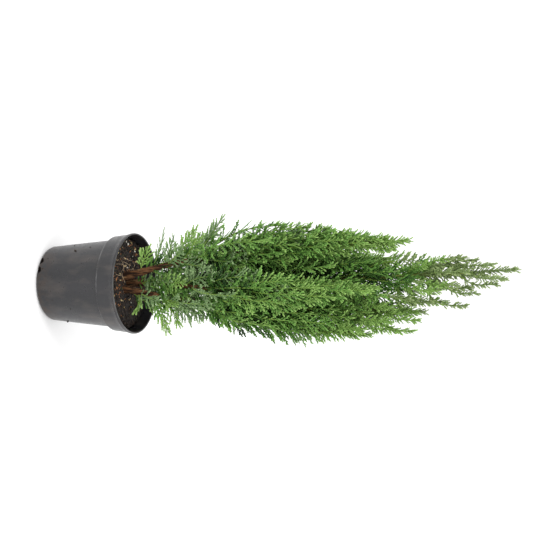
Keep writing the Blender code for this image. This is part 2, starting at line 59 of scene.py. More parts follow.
# Pot: a round nursery pot of thin dark grey plastic, moulded in one piece with a deep collar and
# a rolled lip. Pairs of drain slots run through the corner between its wall and its floor.
POT_HEIGHT = 0.097
RIM_RADIUS = 0.0525
LIP_HEIGHT = 0.0026
LIP_THICK = 0.0017
COLLAR_FOOT_HEIGHT = 0.0755
COLLAR_FOOT_RADIUS = 0.0497
COLLAR_EDGE = 0.0008
COLLAR_FILLET = 0.0009
WALL_HEAD_RADIUS = 0.0461
WALL_FOOT_RADIUS = 0.0390
CORNER_RADIUS = 0.0042
WALL_THICK = 0.0012
FLOOR_THICK = 0.0016
POT_SEGMENTS = 144
SHARP_ANGLE = math.radians(40)
# How far the pot is out of true, and how fast it swings in and out round it and up it
POT_WOBBLE = 0.00012
WOBBLE_ROUND = 1.6
WOBBLE_UP = 20
DRAIN_PAIRS = 3
DRAIN_FIRST_ANGLE = math.radians(-127)
DRAIN_SPACING = math.radians(16)
DRAIN_HALF_LENGTH = 0.0040
DRAIN_HALF_HEIGHT = 0.0031
DRAIN_MIDDLE = 0.0026
DRAIN_SLOPE = -0.45
DRAIN_SIDES = 20
DRAIN_RAGGED = 0.35
DRAIN_RAGGED_GRAIN = 2.3
DRAIN_DEPTH = 0.007


def give(tree, node, inputs):
    """Links or sets some of a node's inputs."""
    for key, value in inputs.items():
        if isinstance(value, bpy.types.NodeSocket):
            tree.links.new(value, node.inputs[key])
        else:
            node.inputs[key].default_value = value


def add_node(tree, kind, inputs=None, **settings):
    """A node with its settings made and its inputs linked or set."""
    node = tree.nodes.new(kind)
    for label, value in settings.items():
        setattr(node, label, value)
    give(tree, node, inputs or {})
    return node


def made(tree, kind, inputs=None, **settings):
    """What a new node gives at its first output."""
    return add_node(tree, kind, inputs, **settings).outputs[0]


def maths(tree, operation, *values):
    """The outcome of one sum. Each of its values is a number or a socket."""
    return made(tree, "ShaderNodeMath", dict(enumerate(values)), operation=operation)


def copies(tree, points, shape, rotation, size=(1, 1, 1)):
    """A shape repeated on points, turned and scaled at each one."""
    shape = add_node(tree, "GeometryNodeObjectInfo", {"Object": shape}).outputs["Geometry"]
    inputs = {"Points": points, "Instance": shape, "Rotation": rotation, "Scale": size}
    return made(tree, "GeometryNodeInstanceOnPoints", inputs)


def new_tree(name, *sockets):
    """A Geometry Nodes tree with named inputs. Gives the tree and those inputs."""
    tree = bpy.data.node_groups.new(name, "GeometryNodeTree")
    tree.interface.new_socket("Geometry", in_out="INPUT", socket_type="NodeSocketGeometry")
    for label, kind in sockets:
        tree.interface.new_socket(label, in_out="INPUT", socket_type="NodeSocket" + kind)
    tree.interface.new_socket("Geometry", in_out="OUTPUT", socket_type="NodeSocketGeometry")
    return tree, add_node(tree, "NodeGroupInput").outputs


def end_tree(tree, geometry, material, smooth):
    """Ends a tree: its instances become real faces and take their finish."""
    real = made(tree, "GeometryNodeRealizeInstances", {0: geometry})
    shaded = made(tree, "GeometryNodeSetShadeSmooth", {0: real, "Shade Smooth": smooth})
    finished = made(tree, "GeometryNodeSetMaterial", {0: shaded, "Material": material})
    add_node(tree, "NodeGroupOutput", {0: finished})


def grown(name, source, tree, values):
    """Runs a tree on a source object, and keeps what it makes as a plain mesh in its place."""
    modifier = source.modifiers.new("grow", "NODES")
    modifier.node_group = tree
    for item in tree.interface.items_tree:
        if item.in_out == "INPUT" and item.name in values:
            modifier[item.identifier] = values[item.name]
    evaluated = source.evaluated_get(bpy.context.evaluated_depsgraph_get())
    mesh = bpy.data.meshes.new_from_object(evaluated)
    source.modifiers.remove(modifier)
    bpy.data.objects.remove(source)
    mesh.name = name
    return place(name, mesh)


def place(name, data):
    thing = bpy.data.objects.new(name, data)
    bpy.context.scene.collection.objects.link(thing)
    return thing


def new_mesh(name, points, faces, edges=()):
    mesh = bpy.data.meshes.new(name)
    mesh.from_pydata(points, edges, faces)
    return mesh


def pattern_from(name, bm):
    """A shape for a tree to repeat, made from an edit mesh. It isn't in the scene itself."""
    mesh = bpy.data.meshes.new(name)
    bm.to_mesh(mesh)
    bm.free()
    return bpy.data.objects.new(name, mesh)


def new_finish(name, colour, roughness):
    """A material with plain values on its shader. Gives the material, its nodes and the shader."""
    material = bpy.data.materials.new(name)
    material.use_nodes = True
    tree = material.node_tree
    shader = tree.nodes["Principled BSDF"]
    shader.inputs["Base Color"].default_value = (*colour, 1)
    shader.inputs["Roughness"].default_value = roughness
    return material, tree, shader


def place_on_object(tree):
    return add_node(tree, "ShaderNodeTexCoord").outputs["Object"]


def cloud(tree, scale, detail, stretch=(1, 1, 1)):
    """Soft noise through the solid, finer as its scale grows, stretched along chosen axes."""
    inputs = {"Vector": place_on_object(tree), "Scale": stretch}
    stretched = made(tree, "ShaderNodeMapping", inputs)
    return made(tree, "ShaderNodeTexNoise", {"Vector": stretched, "Scale": scale, "Detail": detail})


def spread(tree, value, low, high, to_low, to_high):
    """The value carried from one range to another, and held at its ends."""
    return made(tree, "ShaderNodeMapRange", {0: value, 1: low, 2: high, 3: to_low, 4: to_high})


def patches(tree, scale, detail, low, high, most=1, stretch=(1, 1, 1)):
    """Soft patches: nought where the noise is under a low mark, and the most over a high one."""
    return spread(tree, cloud(tree, scale, detail, stretch), low, high, 0, most)


def blend_colours(tree, factor, first, second):
    """A colour between two others. Each of the two is a colour or a socket."""
    mix = add_node(tree, "ShaderNodeMix", {0: factor}, data_type="RGBA")
    for key, colour in ((6, first), (7, second)):
        give(tree, mix, {key: (*colour, 1) if isinstance(colour, tuple) else colour})
    return mix.outputs[2]


def height_up(tree):
    """How high a place on the object lies above the floor."""
    return add_node(tree, "ShaderNodeSeparateXYZ", {0: place_on_object(tree)}).outputs["Z"]


def relief(tree, scale, detail, distance, strength, stretch=(1, 1, 1)):
    """A surface made uneven by soft noise."""
    height = cloud(tree, scale, detail, stretch)
    inputs = {"Height": height, "Distance": distance, "Strength": strength}
    return made(tree, "ShaderNodeBump", inputs)


def arc(centre, radius, start, end, steps):
    """Points of a round stretch of a profile between two angles in degrees."""
    angles = [math.radians(start + (end - start) * i / steps) for i in range(steps + 1)]
    return [(centre[0] + radius * math.cos(a), centre[1] + radius * math.sin(a)) for a in angles]


def straight(start, end, steps):
    """Points from one to another, the last one left out."""
    return [tuple(a + (b - a) * i / steps for a, b in zip(start, end)) for i in range(steps)]


def wall_radius(height):
    share = height / COLLAR_FOOT_HEIGHT
    return WALL_FOOT_RADIUS + (WALL_HEAD_RADIUS - WALL_FOOT_RADIUS) * share


def pot_profile():
    """Half of the pot cut down its middle: from the axis under the floor, up the outside, over
    the lip and down the inside to the axis again."""
    corner = (wall_radius(CORNER_RADIUS) - CORNER_RADIUS, CORNER_RADIUS)
    foot = (wall_radius(CORNER_RADIUS), CORNER_RADIUS)
    outside = [(0, 0), *arc(corner, CORNER_RADIUS, -90, -8, 6)]
    outside += straight(foot, (WALL_HEAD_RADIUS, COLLAR_FOOT_HEIGHT), 8)
    step = (COLLAR_FOOT_RADIUS - COLLAR_EDGE, COLLAR_FOOT_HEIGHT + COLLAR_EDGE)
    outside += [
        (WALL_HEAD_RADIUS, COLLAR_FOOT_HEIGHT),
        (WALL_HEAD_RADIUS + COLLAR_EDGE, step[1] - COLLAR_FILLET),
    ]
    outside += arc(step, COLLAR_EDGE, -80, 0, 4)
    under_lip = (RIM_RADIUS - COLLAR_EDGE, POT_HEIGHT - LIP_HEIGHT - COLLAR_EDGE)
    outside += straight((COLLAR_FOOT_RADIUS, step[1] + COLLAR_EDGE), under_lip, 4) + [under_lip]
    lip = (RIM_RADIUS - LIP_THICK / 2, POT_HEIGHT - LIP_THICK / 2)
    outside += [(RIM_RADIUS, POT_HEIGHT - LIP_HEIGHT), *arc(lip, LIP_THICK / 2, 0, 180, 8)]
    step_top = COLLAR_FOOT_HEIGHT + WALL_THICK
    inside = [
        (RIM_RADIUS - LIP_THICK, POT_HEIGHT - LIP_HEIGHT),
        (COLLAR_FOOT_RADIUS - WALL_THICK, step_top + COLLAR_EDGE),
        (WALL_HEAD_RADIUS - WALL_THICK, step_top - COLLAR_EDGE),
        (wall_radius(CORNER_RADIUS) - WALL_THICK, CORNER_RADIUS),
        (wall_radius(0) - CORNER_RADIUS, FLOOR_THICK),
        (0, FLOOR_THICK),
    ]
    return outside + inside


def level_way(angle):
    """The level direction at an angle round the axis."""
    return Vector((math.cos(angle), math.sin(angle), 0))


def turned_mesh(name, profile, segments, wobble):
    """A closed mesh turned round the axis, a little out of true as thin plastic is."""
    points, faces = [], []
    rings = len(profile) - 2
    for radius, height in profile[1:-1]:
        for i in range(segments):
            way = level_way(2 * math.pi * i / segments)
            place_in_noise = way * WOBBLE_ROUND + Vector((0, 0, height * WOBBLE_UP))
            out = radius + wobble * noise.noise(place_in_noise)
            points.append((way.x * out, way.y * out, height))
    points += [(0, 0, profile[0][1]), (0, 0, profile[-1][1])]
    for i in range(segments):
        j = (i + 1) % segments
        faces.append((len(points) - 2, j, i))
        for ring in range(rings - 1):
            low, high = ring * segments, (ring + 1) * segments
            faces.append((low + i, low + j, high + j, high + i))
        last = (rings - 1) * segments
        faces.append((last + i, last + j, len(points) - 1))
    return new_mesh(name, points, faces)


def drain_pattern():
    """The cutter of one drain slot, in its place at angle nought, aimed down and out."""
    bm = bmesh.new()
    bmesh.ops.create_cone(
        bm, cap_ends=True, segments=DRAIN_SIDES, radius1=1, radius2=1, depth=2 * DRAIN_DEPTH
    )
    middle = Vector((wall_radius(0), 0, DRAIN_MIDDLE))
    aim = Vector((1, 0, DRAIN_SLOPE)).normalized()
    along = Vector((0, -1, 0))
    across = aim.cross(along)
    for vertex in bm.verts:
        x, y, z = vertex.co
        ragged = 1 + DRAIN_RAGGED * noise.noise(Vector((x, y, 0)) * DRAIN_RAGGED_GRAIN)
        aside = along * x * DRAIN_HALF_LENGTH + across * y * DRAIN_HALF_HEIGHT
        vertex.co = middle + aside * ragged + aim * z
    return pattern_from("drain_slot", bm)


def drain_tree():
    """Cuts pairs of slots, evenly spaced round the axis."""
    tree, given = new_tree(
        "drain_slots", ("Slot", "Object"), ("Pairs", "Int"), ("First Angle", "Float"),
        ("Spacing Angle", "Float"), ("Finish", "Material"),
    )
    count = maths(tree, "MULTIPLY", given["Pairs"], 2)
    line = made(tree, "GeometryNodeMeshLine", {"Count": count, "Offset": (0, 0, 0)})
    index = made(tree, "GeometryNodeInputIndex")
    aside = maths(tree, "MULTIPLY", maths(tree, "MODULO", index, 2), given["Spacing Angle"])
    pair = maths(tree, "FLOOR", maths(tree, "DIVIDE", index, 2))
    turn = maths(tree, "DIVIDE", maths(tree, "MULTIPLY", pair, 2 * math.pi), given["Pairs"])
    angle = maths(tree, "ADD", maths(tree, "ADD", turn, aside), given["First Angle"])
    rotation = made(tree, "ShaderNodeCombineXYZ", {"Z": angle})
    slots = copies(tree, line, given["Slot"], rotation)
    cutters = made(tree, "GeometryNodeRealizeInstances", {0: slots})
    cut = made(
        tree, "GeometryNodeMeshBoolean", {0: given["Geometry"], 1: cutters},
        operation="DIFFERENCE", solver="EXACT",
    )
    end_tree(tree, cut, given["Finish"], True)
    return tree


def near_level(tree, height, level, width):
    """One at a level, falling to nought a little above and below it."""
    off = maths(tree, "ABSOLUTE", maths(tree, "SUBTRACT", height, level))
    return spread(tree, off, 0, width, 1, 0)


def pot_finish():
    """Dull recycled plastic: faint flow streaks, dried dust and soil in patches, and a painted
    highlight in patches along the collar's foot and the lip.
    """
    material, tree, shader = new_finish("pot_plastic", (0.022, 0.021, 0.023), 0.38)
    streaks = patches(tree, 40, 4, 0.35, 0.7, 1, (1, 1, 0.08))
    plastic = blend_colours(tree, streaks, (0.010, 0.010, 0.012), (0.018, 0.017, 0.020))
    dust = patches(tree, 90, 7, 0.48, 0.70, 0.75, (1, 1, 0.4))
    dusty = blend_colours(tree, dust, plastic, (0.046, 0.038, 0.034))
    height = height_up(tree)
    foot = spread(tree, height, 0.0, 0.022, 1.0, 0.0)
    soil = maths(tree, "MULTIPLY", foot, patches(tree, 160, 5, 0.42, 0.62))
    soiled = blend_colours(tree, soil, dusty, (0.034, 0.021, 0.014))
    # Painted highlight: a lighter grey band, broken into patches, where the collar's foot and the lip
    # catch the light.
    collar_edge = near_level(tree, height, COLLAR_FOOT_HEIGHT + COLLAR_EDGE, 0.0013)
    edges = maths(tree, "MAXIMUM", collar_edge, near_level(tree, height, POT_HEIGHT, 0.0008))
    painted_edge_highlight = maths(tree, "MULTIPLY", edges, patches(tree, 45, 4, 0.45, 0.62, 0.8))
    edge_lit = blend_colours(tree, painted_edge_highlight, soiled, (0.13, 0.13, 0.13))
    rough = spread(tree, cloud(tree, 220, 5), 0.3, 0.7, 0.26, 0.38)
    grain = relief(tree, 1800, 2, 0.00004, 0.6)
    give(tree, shader, {"Base Color": edge_lit, "Roughness": rough, "Normal": grain})
    return material


pot_shell = place("pot_shell", turned_mesh("pot_shell", pot_profile(), POT_SEGMENTS, POT_WOBBLE))
drain_slot = drain_pattern()
pot = grown("pot_body", pot_shell, drain_tree(), {
    "Slot": drain_slot, "Pairs": DRAIN_PAIRS, "First Angle": DRAIN_FIRST_ANGLE,
    "Spacing Angle": DRAIN_SPACING, "Finish": pot_finish(),
})
bpy.data.objects.remove(drain_slot)
pot.data.set_sharp_from_angle(angle=SHARP_ANGLE)
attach(pot, "root")
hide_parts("pot")

# Compost: dark moist peat and bark that fills the pot to a finger's width under its lip, rough
# with clods and crumbs, with chips of orange bark, white grains of perlite and pale root threads.
COMPOST_TOP = 0.0872
COMPOST_SINK = 0.0022
COMPOST_LUMP = 0.0026
COMPOST_LUMP_SIZE = 0.012
COMPOST_GRIT = 0.0009
COMPOST_GRIT_SIZE = 0.0035
LEVEL_RADIUS = 0.020
COMPOST_EDGE = 0.0479
# The body under its top, along the inside of the pot: radius and height
COMPOST_BODY = ((COMPOST_EDGE, 0.0791), (0.0443, 0.0767), (0.0384, 0.0058), (0.0348, 0.0019))
# Radius of the innermost ring, as a share of the space between two rings
COMPOST_EYE = 0.02
COMPOST_RINGS = 30
COMPOST_SEGMENTS = 120
LUMP_GRAIN = 3.1
THREADS = 14
THREAD_STEPS = 13
THREAD_ANGLES = (130, 260)
THREAD_PLACES = (0.010, 0.034)
THREAD_CURL = 0.22
THREAD_WANDER = 0.2
THREAD_MARGIN = 0.002
THREAD_LIFT = 0.0006
THREAD_ARCH = (0.001, 0.005)
THREAD_STRIDE = 0.0012
THREAD_RADIUS = 0.00024
# Crumbs that stick to the outside of the pot, proud of it by a share of their size. Each row:
# angle round it in degrees, height and size
CRUMB_PROUD = 0.2
STUCK_CRUMBS = (
    (-148, 0.0560, 0.0011), (-142, 0.0405, 0.0023), (-118, 0.0540, 0.0006), (-52, 0.0385, 0.0010),
    (-15, 0.0225, 0.0022), (-65, 0.0190, 0.0007), (-101, 0.0120, 0.0008), (-130, 0.0105, 0.0012),
    (-113, 0.0072, 0.0014), (-80, 0.0660, 0.0005), (35, 0.0420, 0.0012), (88, 0.0250, 0.0015),
    (140, 0.0600, 0.0010), (200, 0.0330, 0.0012),
)


def held(share):
    """A share held between 0 and 1."""
    return min(1, max(0, share))


def ground_height(x, y):
    """Height of the compost: level under the stems, lower and lumpy towards the wall."""
    share = held((math.hypot(x, y) - LEVEL_RADIUS) / (COMPOST_EDGE - LEVEL_RADIUS))
    point = Vector((x, y, COMPOST_TOP))
    lump = noise.noise(point / COMPOST_LUMP_SIZE) * COMPOST_LUMP - COMPOST_SINK
    grit = noise.noise(point / COMPOST_GRIT_SIZE) * COMPOST_GRIT
    return COMPOST_TOP + share * lump + grit


def ground_mesh(closed):
    """The top of the compost, and if closed the body under it down to the pot's floor."""
    turns = [2 * math.pi * i / COMPOST_SEGMENTS for i in range(COMPOST_SEGMENTS)]
    points, faces = [], []
    for ring in range(COMPOST_RINGS + 1):
        radius = COMPOST_EDGE * (ring + COMPOST_EYE) / (COMPOST_RINGS + COMPOST_EYE)
        for x, y in [(radius * math.cos(turn), radius * math.sin(turn)) for turn in turns]:
            points.append((x, y, ground_height(x, y)))
    body = COMPOST_BODY if closed else ()
    for radius, height in body:
        points += [(radius * math.cos(turn), radius * math.sin(turn), height) for turn in turns]
    rings = COMPOST_RINGS + len(body)
    for ring in range(rings):
        near, far = ring * COMPOST_SEGMENTS, (ring + 1) * COMPOST_SEGMENTS
        for i in range(COMPOST_SEGMENTS):
            j = (i + 1) % COMPOST_SEGMENTS
            faces.append((near + i, far + i, far + j, near + j))
    faces.append(tuple(range(COMPOST_SEGMENTS)))
    if closed:
        last = rings * COMPOST_SEGMENTS
        faces.append(tuple(reversed(range(last, last + COMPOST_SEGMENTS))))
    return new_mesh("compost_ground", points, faces)


def lump_pattern(name, subdivisions, roughness):
    """A knobbly lump, one metre across before it is scaled."""
    bm = bmesh.new()
    bmesh.ops.create_icosphere(bm, subdivisions=subdivisions, radius=0.5)
    for vertex in bm.verts:
        vertex.co *= 1 + roughness * noise.noise(vertex.co * LUMP_GRAIN)
    return pattern_from(name, bm)


def pattern(name, points, faces):
    """A shape for a tree to repeat, made from points and faces. It isn't in the scene itself."""
    return bpy.data.objects.new(name, new_mesh(name, points, faces))


def chip_pattern():
    """A flake of bark with a ragged outline, one metre long before it is scaled."""
    outline = [(-0.5, -0.08), (-0.2, -0.2), (0.18, -0.15), (0.5, -0.2)]
    outline += [(0.42, 0.1), (0.1, 0.2), (-0.35, 0.14)]
    count = len(outline)
    points = [(x, y, -0.05) for x, y in outline]
    points += [(x * 0.9, y * 0.8, 0.05 + 0.06 * math.sin(7 * x)) for x, y in outline]
    faces = [tuple(reversed(range(count))), tuple(range(count, 2 * count))]
    faces += [(i, (i + 1) % count, count + (i + 1) % count, count + i) for i in range(count)]
    return pattern("bark_chip", points, faces)


def chance(tree, low, high, seed, kind="FLOAT"):
    """A random number, or a random vector, between two others."""
    first, out = (2, 1) if kind == "FLOAT" else (0, 0)
    inputs = {first: low, first + 1: high, "Seed": seed}
    return add_node(tree, "FunctionNodeRandomValue", inputs, data_type=kind).outputs[out]


def litter_tree():
    """Strews a shape over the compost at random, each one turned and scaled its own way, and more
    of them towards one side where it has drifted."""
    tree, given = new_tree(
        "compost_litter", ("Shape", "Object"), ("Density", "Float"), ("Drift", "Vector"),
        ("Smallest", "Float"), ("Largest", "Float"), ("Tilt", "Float"), ("Seed", "Int"),
        ("Finish", "Material"),
    )
    position = made(tree, "GeometryNodeInputPosition")
    drifted = add_node(
        tree, "ShaderNodeVectorMath", {0: position, 1: given["Drift"]}, operation="DOT_PRODUCT"
    ).outputs["Value"]
    share = maths(tree, "MAXIMUM", maths(tree, "ADD", drifted, 1.0), 0.0)
    strewn = made(tree, "GeometryNodeDistributePointsOnFaces", {
        "Mesh": given["Geometry"], "Density": maths(tree, "MULTIPLY", share, given["Density"]),
        "Seed": given["Seed"],
    })
    size = chance(tree, given["Smallest"], given["Largest"], given["Seed"])
    tilt, back = given["Tilt"], maths(tree, "MULTIPLY", given["Tilt"], -1.0)
    low = made(tree, "ShaderNodeCombineXYZ", {0: back, 1: back, 2: 0.0})
    high = made(tree, "ShaderNodeCombineXYZ", {0: tilt, 1: tilt, 2: 2 * math.pi})
    turn = chance(tree, low, high, given["Seed"], "FLOAT_VECTOR")
    end_tree(tree, copies(tree, strewn, given["Shape"], turn, size), given["Finish"], False)
    return tree


def compost_finish(name, dark, light):
    material, tree, shader = new_finish(name, dark, 0.9)
    crumbly = blend_colours(tree, patches(tree, 420, 5, 0.45, 0.66), dark, light)
    give(tree, shader, {"Base Color": crumbly, "Normal": relief(tree, 1500, 4, 0.0004, 0.8)})
    return material


def rough_finish(name, first, second, scale, roughness):
    """A dull finish in two close colours with a grainy surface."""
    material, tree, shader = new_finish(name, first, roughness)
    mottled = blend_colours(tree, patches(tree, scale, 4, 0.35, 0.65), first, second)
    grain = relief(tree, scale * 3, 3, 0.0002, 0.6)
    give(tree, shader, {"Base Color": mottled, "Normal": grain})
    return material


def chain_source(name, chains, values):
    """Open chains of points for a tree to follow. Values holds numbers or vectors by point."""
    points = [point for chain in chains for point in chain]
    edges, start = [], 0
    for chain in chains:
        edges += [(start + i, start + i + 1) for i in range(len(chain) - 1)]
        start += len(chain)
    mesh = new_mesh(name, points, [], edges)
    for label, numbers in values.items():
        if isinstance(numbers[0], Vector):
            data = mesh.attributes.new(label, "FLOAT_VECTOR", "POINT").data
            data.foreach_set("vector", [number for vector in numbers for number in vector])
        else:
            mesh.attributes.new(label, "FLOAT", "POINT").data.foreach_set("value", numbers)
    return place(name, mesh)


def said(tree, label, kind="FLOAT"):
    """What a point says under a label."""
    return made(tree, "GeometryNodeInputNamedAttribute", {"Name": label}, data_type=kind)


def tubes_along(tree, chains, sides, caps=True):
    """A round tube along each chain, as thick at each point as the point says."""
    curves = made(tree, "GeometryNodeMeshToCurve", {0: chains})
    ring = add_node(tree, "GeometryNodeCurvePrimitiveCircle", {"Resolution": sides, "Radius": 1.0})
    return made(tree, "GeometryNodeCurveToMesh", {
        "Curve": curves, "Profile Curve": ring.outputs[0], "Scale": said(tree, "thickness"),
        "Fill Caps": caps,
    })


def tube_tree():
    tree, given = new_tree("tubes", ("Sides", "Int"), ("Finish", "Material"))
    end_tree(tree, tubes_along(tree, given["Geometry"], given["Sides"]), given["Finish"], True)
    return tree


def crumb_tree():
    """Puts a lump on each point, as large as the point says."""
    tree, given = new_tree("stuck_crumbs", ("Shape", "Object"), ("Seed", "Int"), ("Finish", "Material"))
    turn = chance(tree, (0, 0, 0), (6, 6, 6), given["Seed"], "FLOAT_VECTOR")
    crumbs = copies(tree, given["Geometry"], given["Shape"], turn, said(tree, "size"))
    end_tree(tree, crumbs, given["Finish"], False)
    return tree


def root_threads():
    """Thin curling threads that lie on the compost."""
    rng = random.Random(5)
    chains, thickness = [], []
    for _ in range(THREADS):
        angle, radius = math.radians(rng.uniform(*THREAD_ANGLES)), rng.uniform(*THREAD_PLACES)
        point = Vector((radius * math.cos(angle), radius * math.sin(angle), 0))
        way, curl = rng.uniform(0, 2 * math.pi), rng.uniform(-THREAD_CURL, THREAD_CURL)
        arch = rng.uniform(*THREAD_ARCH)
        chain = []
        for step in range(THREAD_STEPS + 1):
            share = step / THREAD_STEPS
            lift = THREAD_LIFT + arch * math.sin(math.pi * share)
            chain.append(Vector((point.x, point.y, ground_height(point.x, point.y) + lift)))
            thickness.append(THREAD_RADIUS * (1 - 0.5 * share))
            way += curl + rng.uniform(-THREAD_WANDER, THREAD_WANDER)
            stride = level_way(way) * THREAD_STRIDE
            if (point + stride).length < COMPOST_EDGE - THREAD_MARGIN:
                point += stride
        chains.append(chain)
    return chain_source("root_threads", chains, {"thickness": thickness})


def stuck_crumb_points():
    points, sizes = [], []
    for degrees, height, size in STUCK_CRUMBS:
        angle = math.radians(degrees)
        radius = wall_radius(height) + size * CRUMB_PROUD
        points.append([Vector((radius * math.cos(angle), radius * math.sin(angle), height))])
        sizes.append(size)
    return chain_source("stuck_crumbs", points, {"size": sizes})


peat = compost_finish("peat", (0.006, 0.004, 0.003), (0.024, 0.014, 0.010))
ground = place("compost_body", ground_mesh(True))
ground.data.materials.append(peat)
ground.data.shade_smooth()
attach(ground, "root")
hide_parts("compost")

litter = litter_tree()
clod, crumb = lump_pattern("clod", 2, 0.9), lump_pattern("crumb", 1, 0.8)
chip, grain = chip_pattern(), lump_pattern("grain", 2, 0.5)
clod_peat = compost_finish("clod_peat", (0.005, 0.003, 0.002), (0.048, 0.028, 0.017))
EVEN, DRIFTED = (0, 0, 0), (-22, -14, 0)
# Each row: name, shape, number to the square metre, drift, smallest and largest, tilt, seed, finish
LITTER = (
    ("compost_clods", clod, 95000, EVEN, 0.0012, 0.0036, 3.1, 3, clod_peat),
    ("compost_crumbs", crumb, 260000, EVEN, 0.0005, 0.0014, 3.1, 8, clod_peat),
    ("bark_chips", chip, 17000, DRIFTED, 0.0020, 0.0064, 0.9, 21,
     rough_finish("bark_chip", (0.36, 0.15, 0.052), (0.085, 0.036, 0.017), 500, 0.8)),
    ("straw_bits", chip, 3600, DRIFTED, 0.0028, 0.0068, 0.8, 55,
     rough_finish("straw", (0.52, 0.40, 0.20), (0.26, 0.18, 0.08), 500, 0.7)),
    ("fallen_leaves", chip, 6000, DRIFTED, 0.0016, 0.0034, 0.9, 13,
     rough_finish("fallen_leaf", (0.12, 0.15, 0.035), (0.050, 0.060, 0.018), 500, 0.7)),
    ("perlite_grains", grain, 2400, EVEN, 0.0014, 0.0026, 3.1, 34,
     rough_finish("perlite", (0.80, 0.78, 0.70), (0.55, 0.53, 0.46), 900, 0.7)),
)
for name, shape, density, drift, smallest, largest, tilt, seed, finish in LITTER:
    piece = grown(name, place("ground_top", ground_mesh(False)), litter, {
        "Shape": shape, "Density": density, "Drift": drift, "Smallest": smallest, "Largest": largest,
        "Tilt": tilt, "Seed": seed, "Finish": finish,
    })
    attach(piece, "root")

threads = grown("root_threads", root_threads(), tube_tree(), {
    "Sides": 6, "Finish": rough_finish("root_thread", (0.52, 0.40, 0.27), (0.28, 0.19, 0.11), 700, 0.7),
})
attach(threads, "root")
stuck = grown("stuck_crumbs", stuck_crumb_points(), crumb_tree(), {
    "Shape": crumb, "Seed": 2, "Finish": clod_peat,
})
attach(stuck, "root")
for shape in (clod, crumb, chip, grain):
    bpy.data.objects.remove(shape)

# Stems and boughs: three stems from the compost and four boughs that fork from them, each one
# whole tapering limb of soft wood under thin stringy red-brown bark that turns green higher up.
UP = Vector((0, 0, 1))
# Each row: name, limb it forks from, four points it runs through, foot radius, reach of its
# longest side shoots, bare length, number of foliage masses, and length in which reach grows
LIMBS = (
    ("stem_left", None, (
        (-0.0075, -0.008, 0.0875), (-0.0235, -0.010, 0.160),
        (-0.034, -0.009, 0.250), (-0.042, -0.008, 0.395),
    ), 0.0030, 0.072, 0.020, 7, 0.165),
    ("stem_centre", None, (
        (-0.0008, 0.002, 0.0875), (-0.0010, 0.003, 0.180),
        (-0.0050, 0.003, 0.330), (-0.0140, 0.000, 0.498),
    ), 0.0034, 0.034, 0.070, 8, 0.065),
    ("stem_right", None, (
        (0.0060, -0.008, 0.0875), (0.0170, -0.004, 0.166),
        (0.0245, 0.003, 0.282), (0.0270, 0.006, 0.407),
    ), 0.0029, 0.042, 0.020, 7, 0.100),
    ("bough_front", "stem_centre", (
        (-0.0010, 0.000, 0.122), (0.0040, -0.018, 0.180),
        (0.0070, -0.026, 0.270), (0.0033, -0.025, 0.368),
    ), 0.0020, 0.036, 0.015, 6, 0.080),
    ("bough_far_right", "stem_right", (
        (0.0150, -0.005, 0.150), (0.0320, 0.003, 0.205),
        (0.0440, 0.006, 0.270), (0.0503, 0.005, 0.352),
    ), 0.0018, 0.019, 0.015, 4, 0.090),
    ("bough_back_left", "stem_left", (
        (-0.0205, -0.010, 0.142), (-0.0230, 0.014, 0.205),
        (-0.0250, 0.030, 0.270), (-0.0220, 0.034, 0.366),
    ), 0.0018, 0.038, 0.015, 5, 0.080),
    ("bough_back_right", "stem_centre", (
        (-0.0010, 0.003, 0.150), (0.0110, 0.022, 0.205),
        (0.0190, 0.034, 0.270), (0.0160, 0.036, 0.348),
    ), 0.0018, 0.038, 0.015, 5, 0.080),
)
LIMB_TIP_RADIUS = 0.0008
LIMB_TAPER_POWER = 0.8
LEADING_SHARE = 0.11
FLARE = 0.4
FLARE_HEIGHT = 0.014
FLARE_POWER = 1.4
LINE_STEPS = 60
BARK_SIDES = 18
BARK_STRIDE = 0.0022
BARK_RELIEF = 0.00095
BARK_GRAIN = 620.0
BARK_STRETCH = 0.16
# A limb of this radius has the whole relief, and a thinner one less
RELIEF_RADIUS = 0.003
# How far a stem's skin goes down into the compost, and how much wider it is there
FOOT_SUNK = 0.0025
FOOT_SPREAD = 1.04


def curve_through(points, t):
    """A smooth curve through four points, with t from 0 to 1, and its direction there."""
    a, b, c, d = (Vector(point) for point in points)
    knots = [2 * a - b, a, b, c, d, 2 * d - c]
    place_on = held(t) * 3
    i = min(int(place_on), 2)
    u = place_on - i
    p0, p1, p2, p3 = knots[i : i + 4]
    bend = 2 * p0 - 5 * p1 + 4 * p2 - p3
    swing = 3 * p1 - p0 - 3 * p2 + p3
    point = 0.5 * (2 * p1 + (p2 - p0) * u + bend * u**2 + swing * u**3)
    heading = 0.5 * ((p2 - p0) + 2 * bend * u + 3 * swing * u**2)
    return point, heading.normalized()


class Leader:
    """A limb with the green shoot that leads on from it."""

    def __init__(self, row):
        (self.name, self.parent, self.points, self.radius, self.shoot, self.bare, self.count,
         self.filling) = row
        line = [curve_through(self.points, i / LINE_STEPS)[0] for i in range(LINE_STEPS + 1)]
        self.along = [0.0]
        for a, b in zip(line, line[1:]):
            self.along.append(self.along[-1] + (b - a).length)
        self.length = self.along[-1]
        self.wood = self.length * (1 - LEADING_SHARE)

    def at(self, distance):
        """Point and direction at a distance along the limb from its foot."""
        i = 0
        while i < LINE_STEPS - 1 and distance > self.along[i + 1]:
            i += 1
        share = (distance - self.along[i]) / (self.along[i + 1] - self.along[i])
        return curve_through(self.points, (i + share) / LINE_STEPS)

    def radius_at(self, distance):
        share = held(distance / self.wood)
        radius = LIMB_TIP_RADIUS + (self.radius - LIMB_TIP_RADIUS) * (1 - share) ** LIMB_TAPER_POWER
        if self.parent is None:
            radius *= 1 + FLARE * math.exp(-((max(0, distance) / FLARE_HEIGHT) ** FLARE_POWER))
        return radius


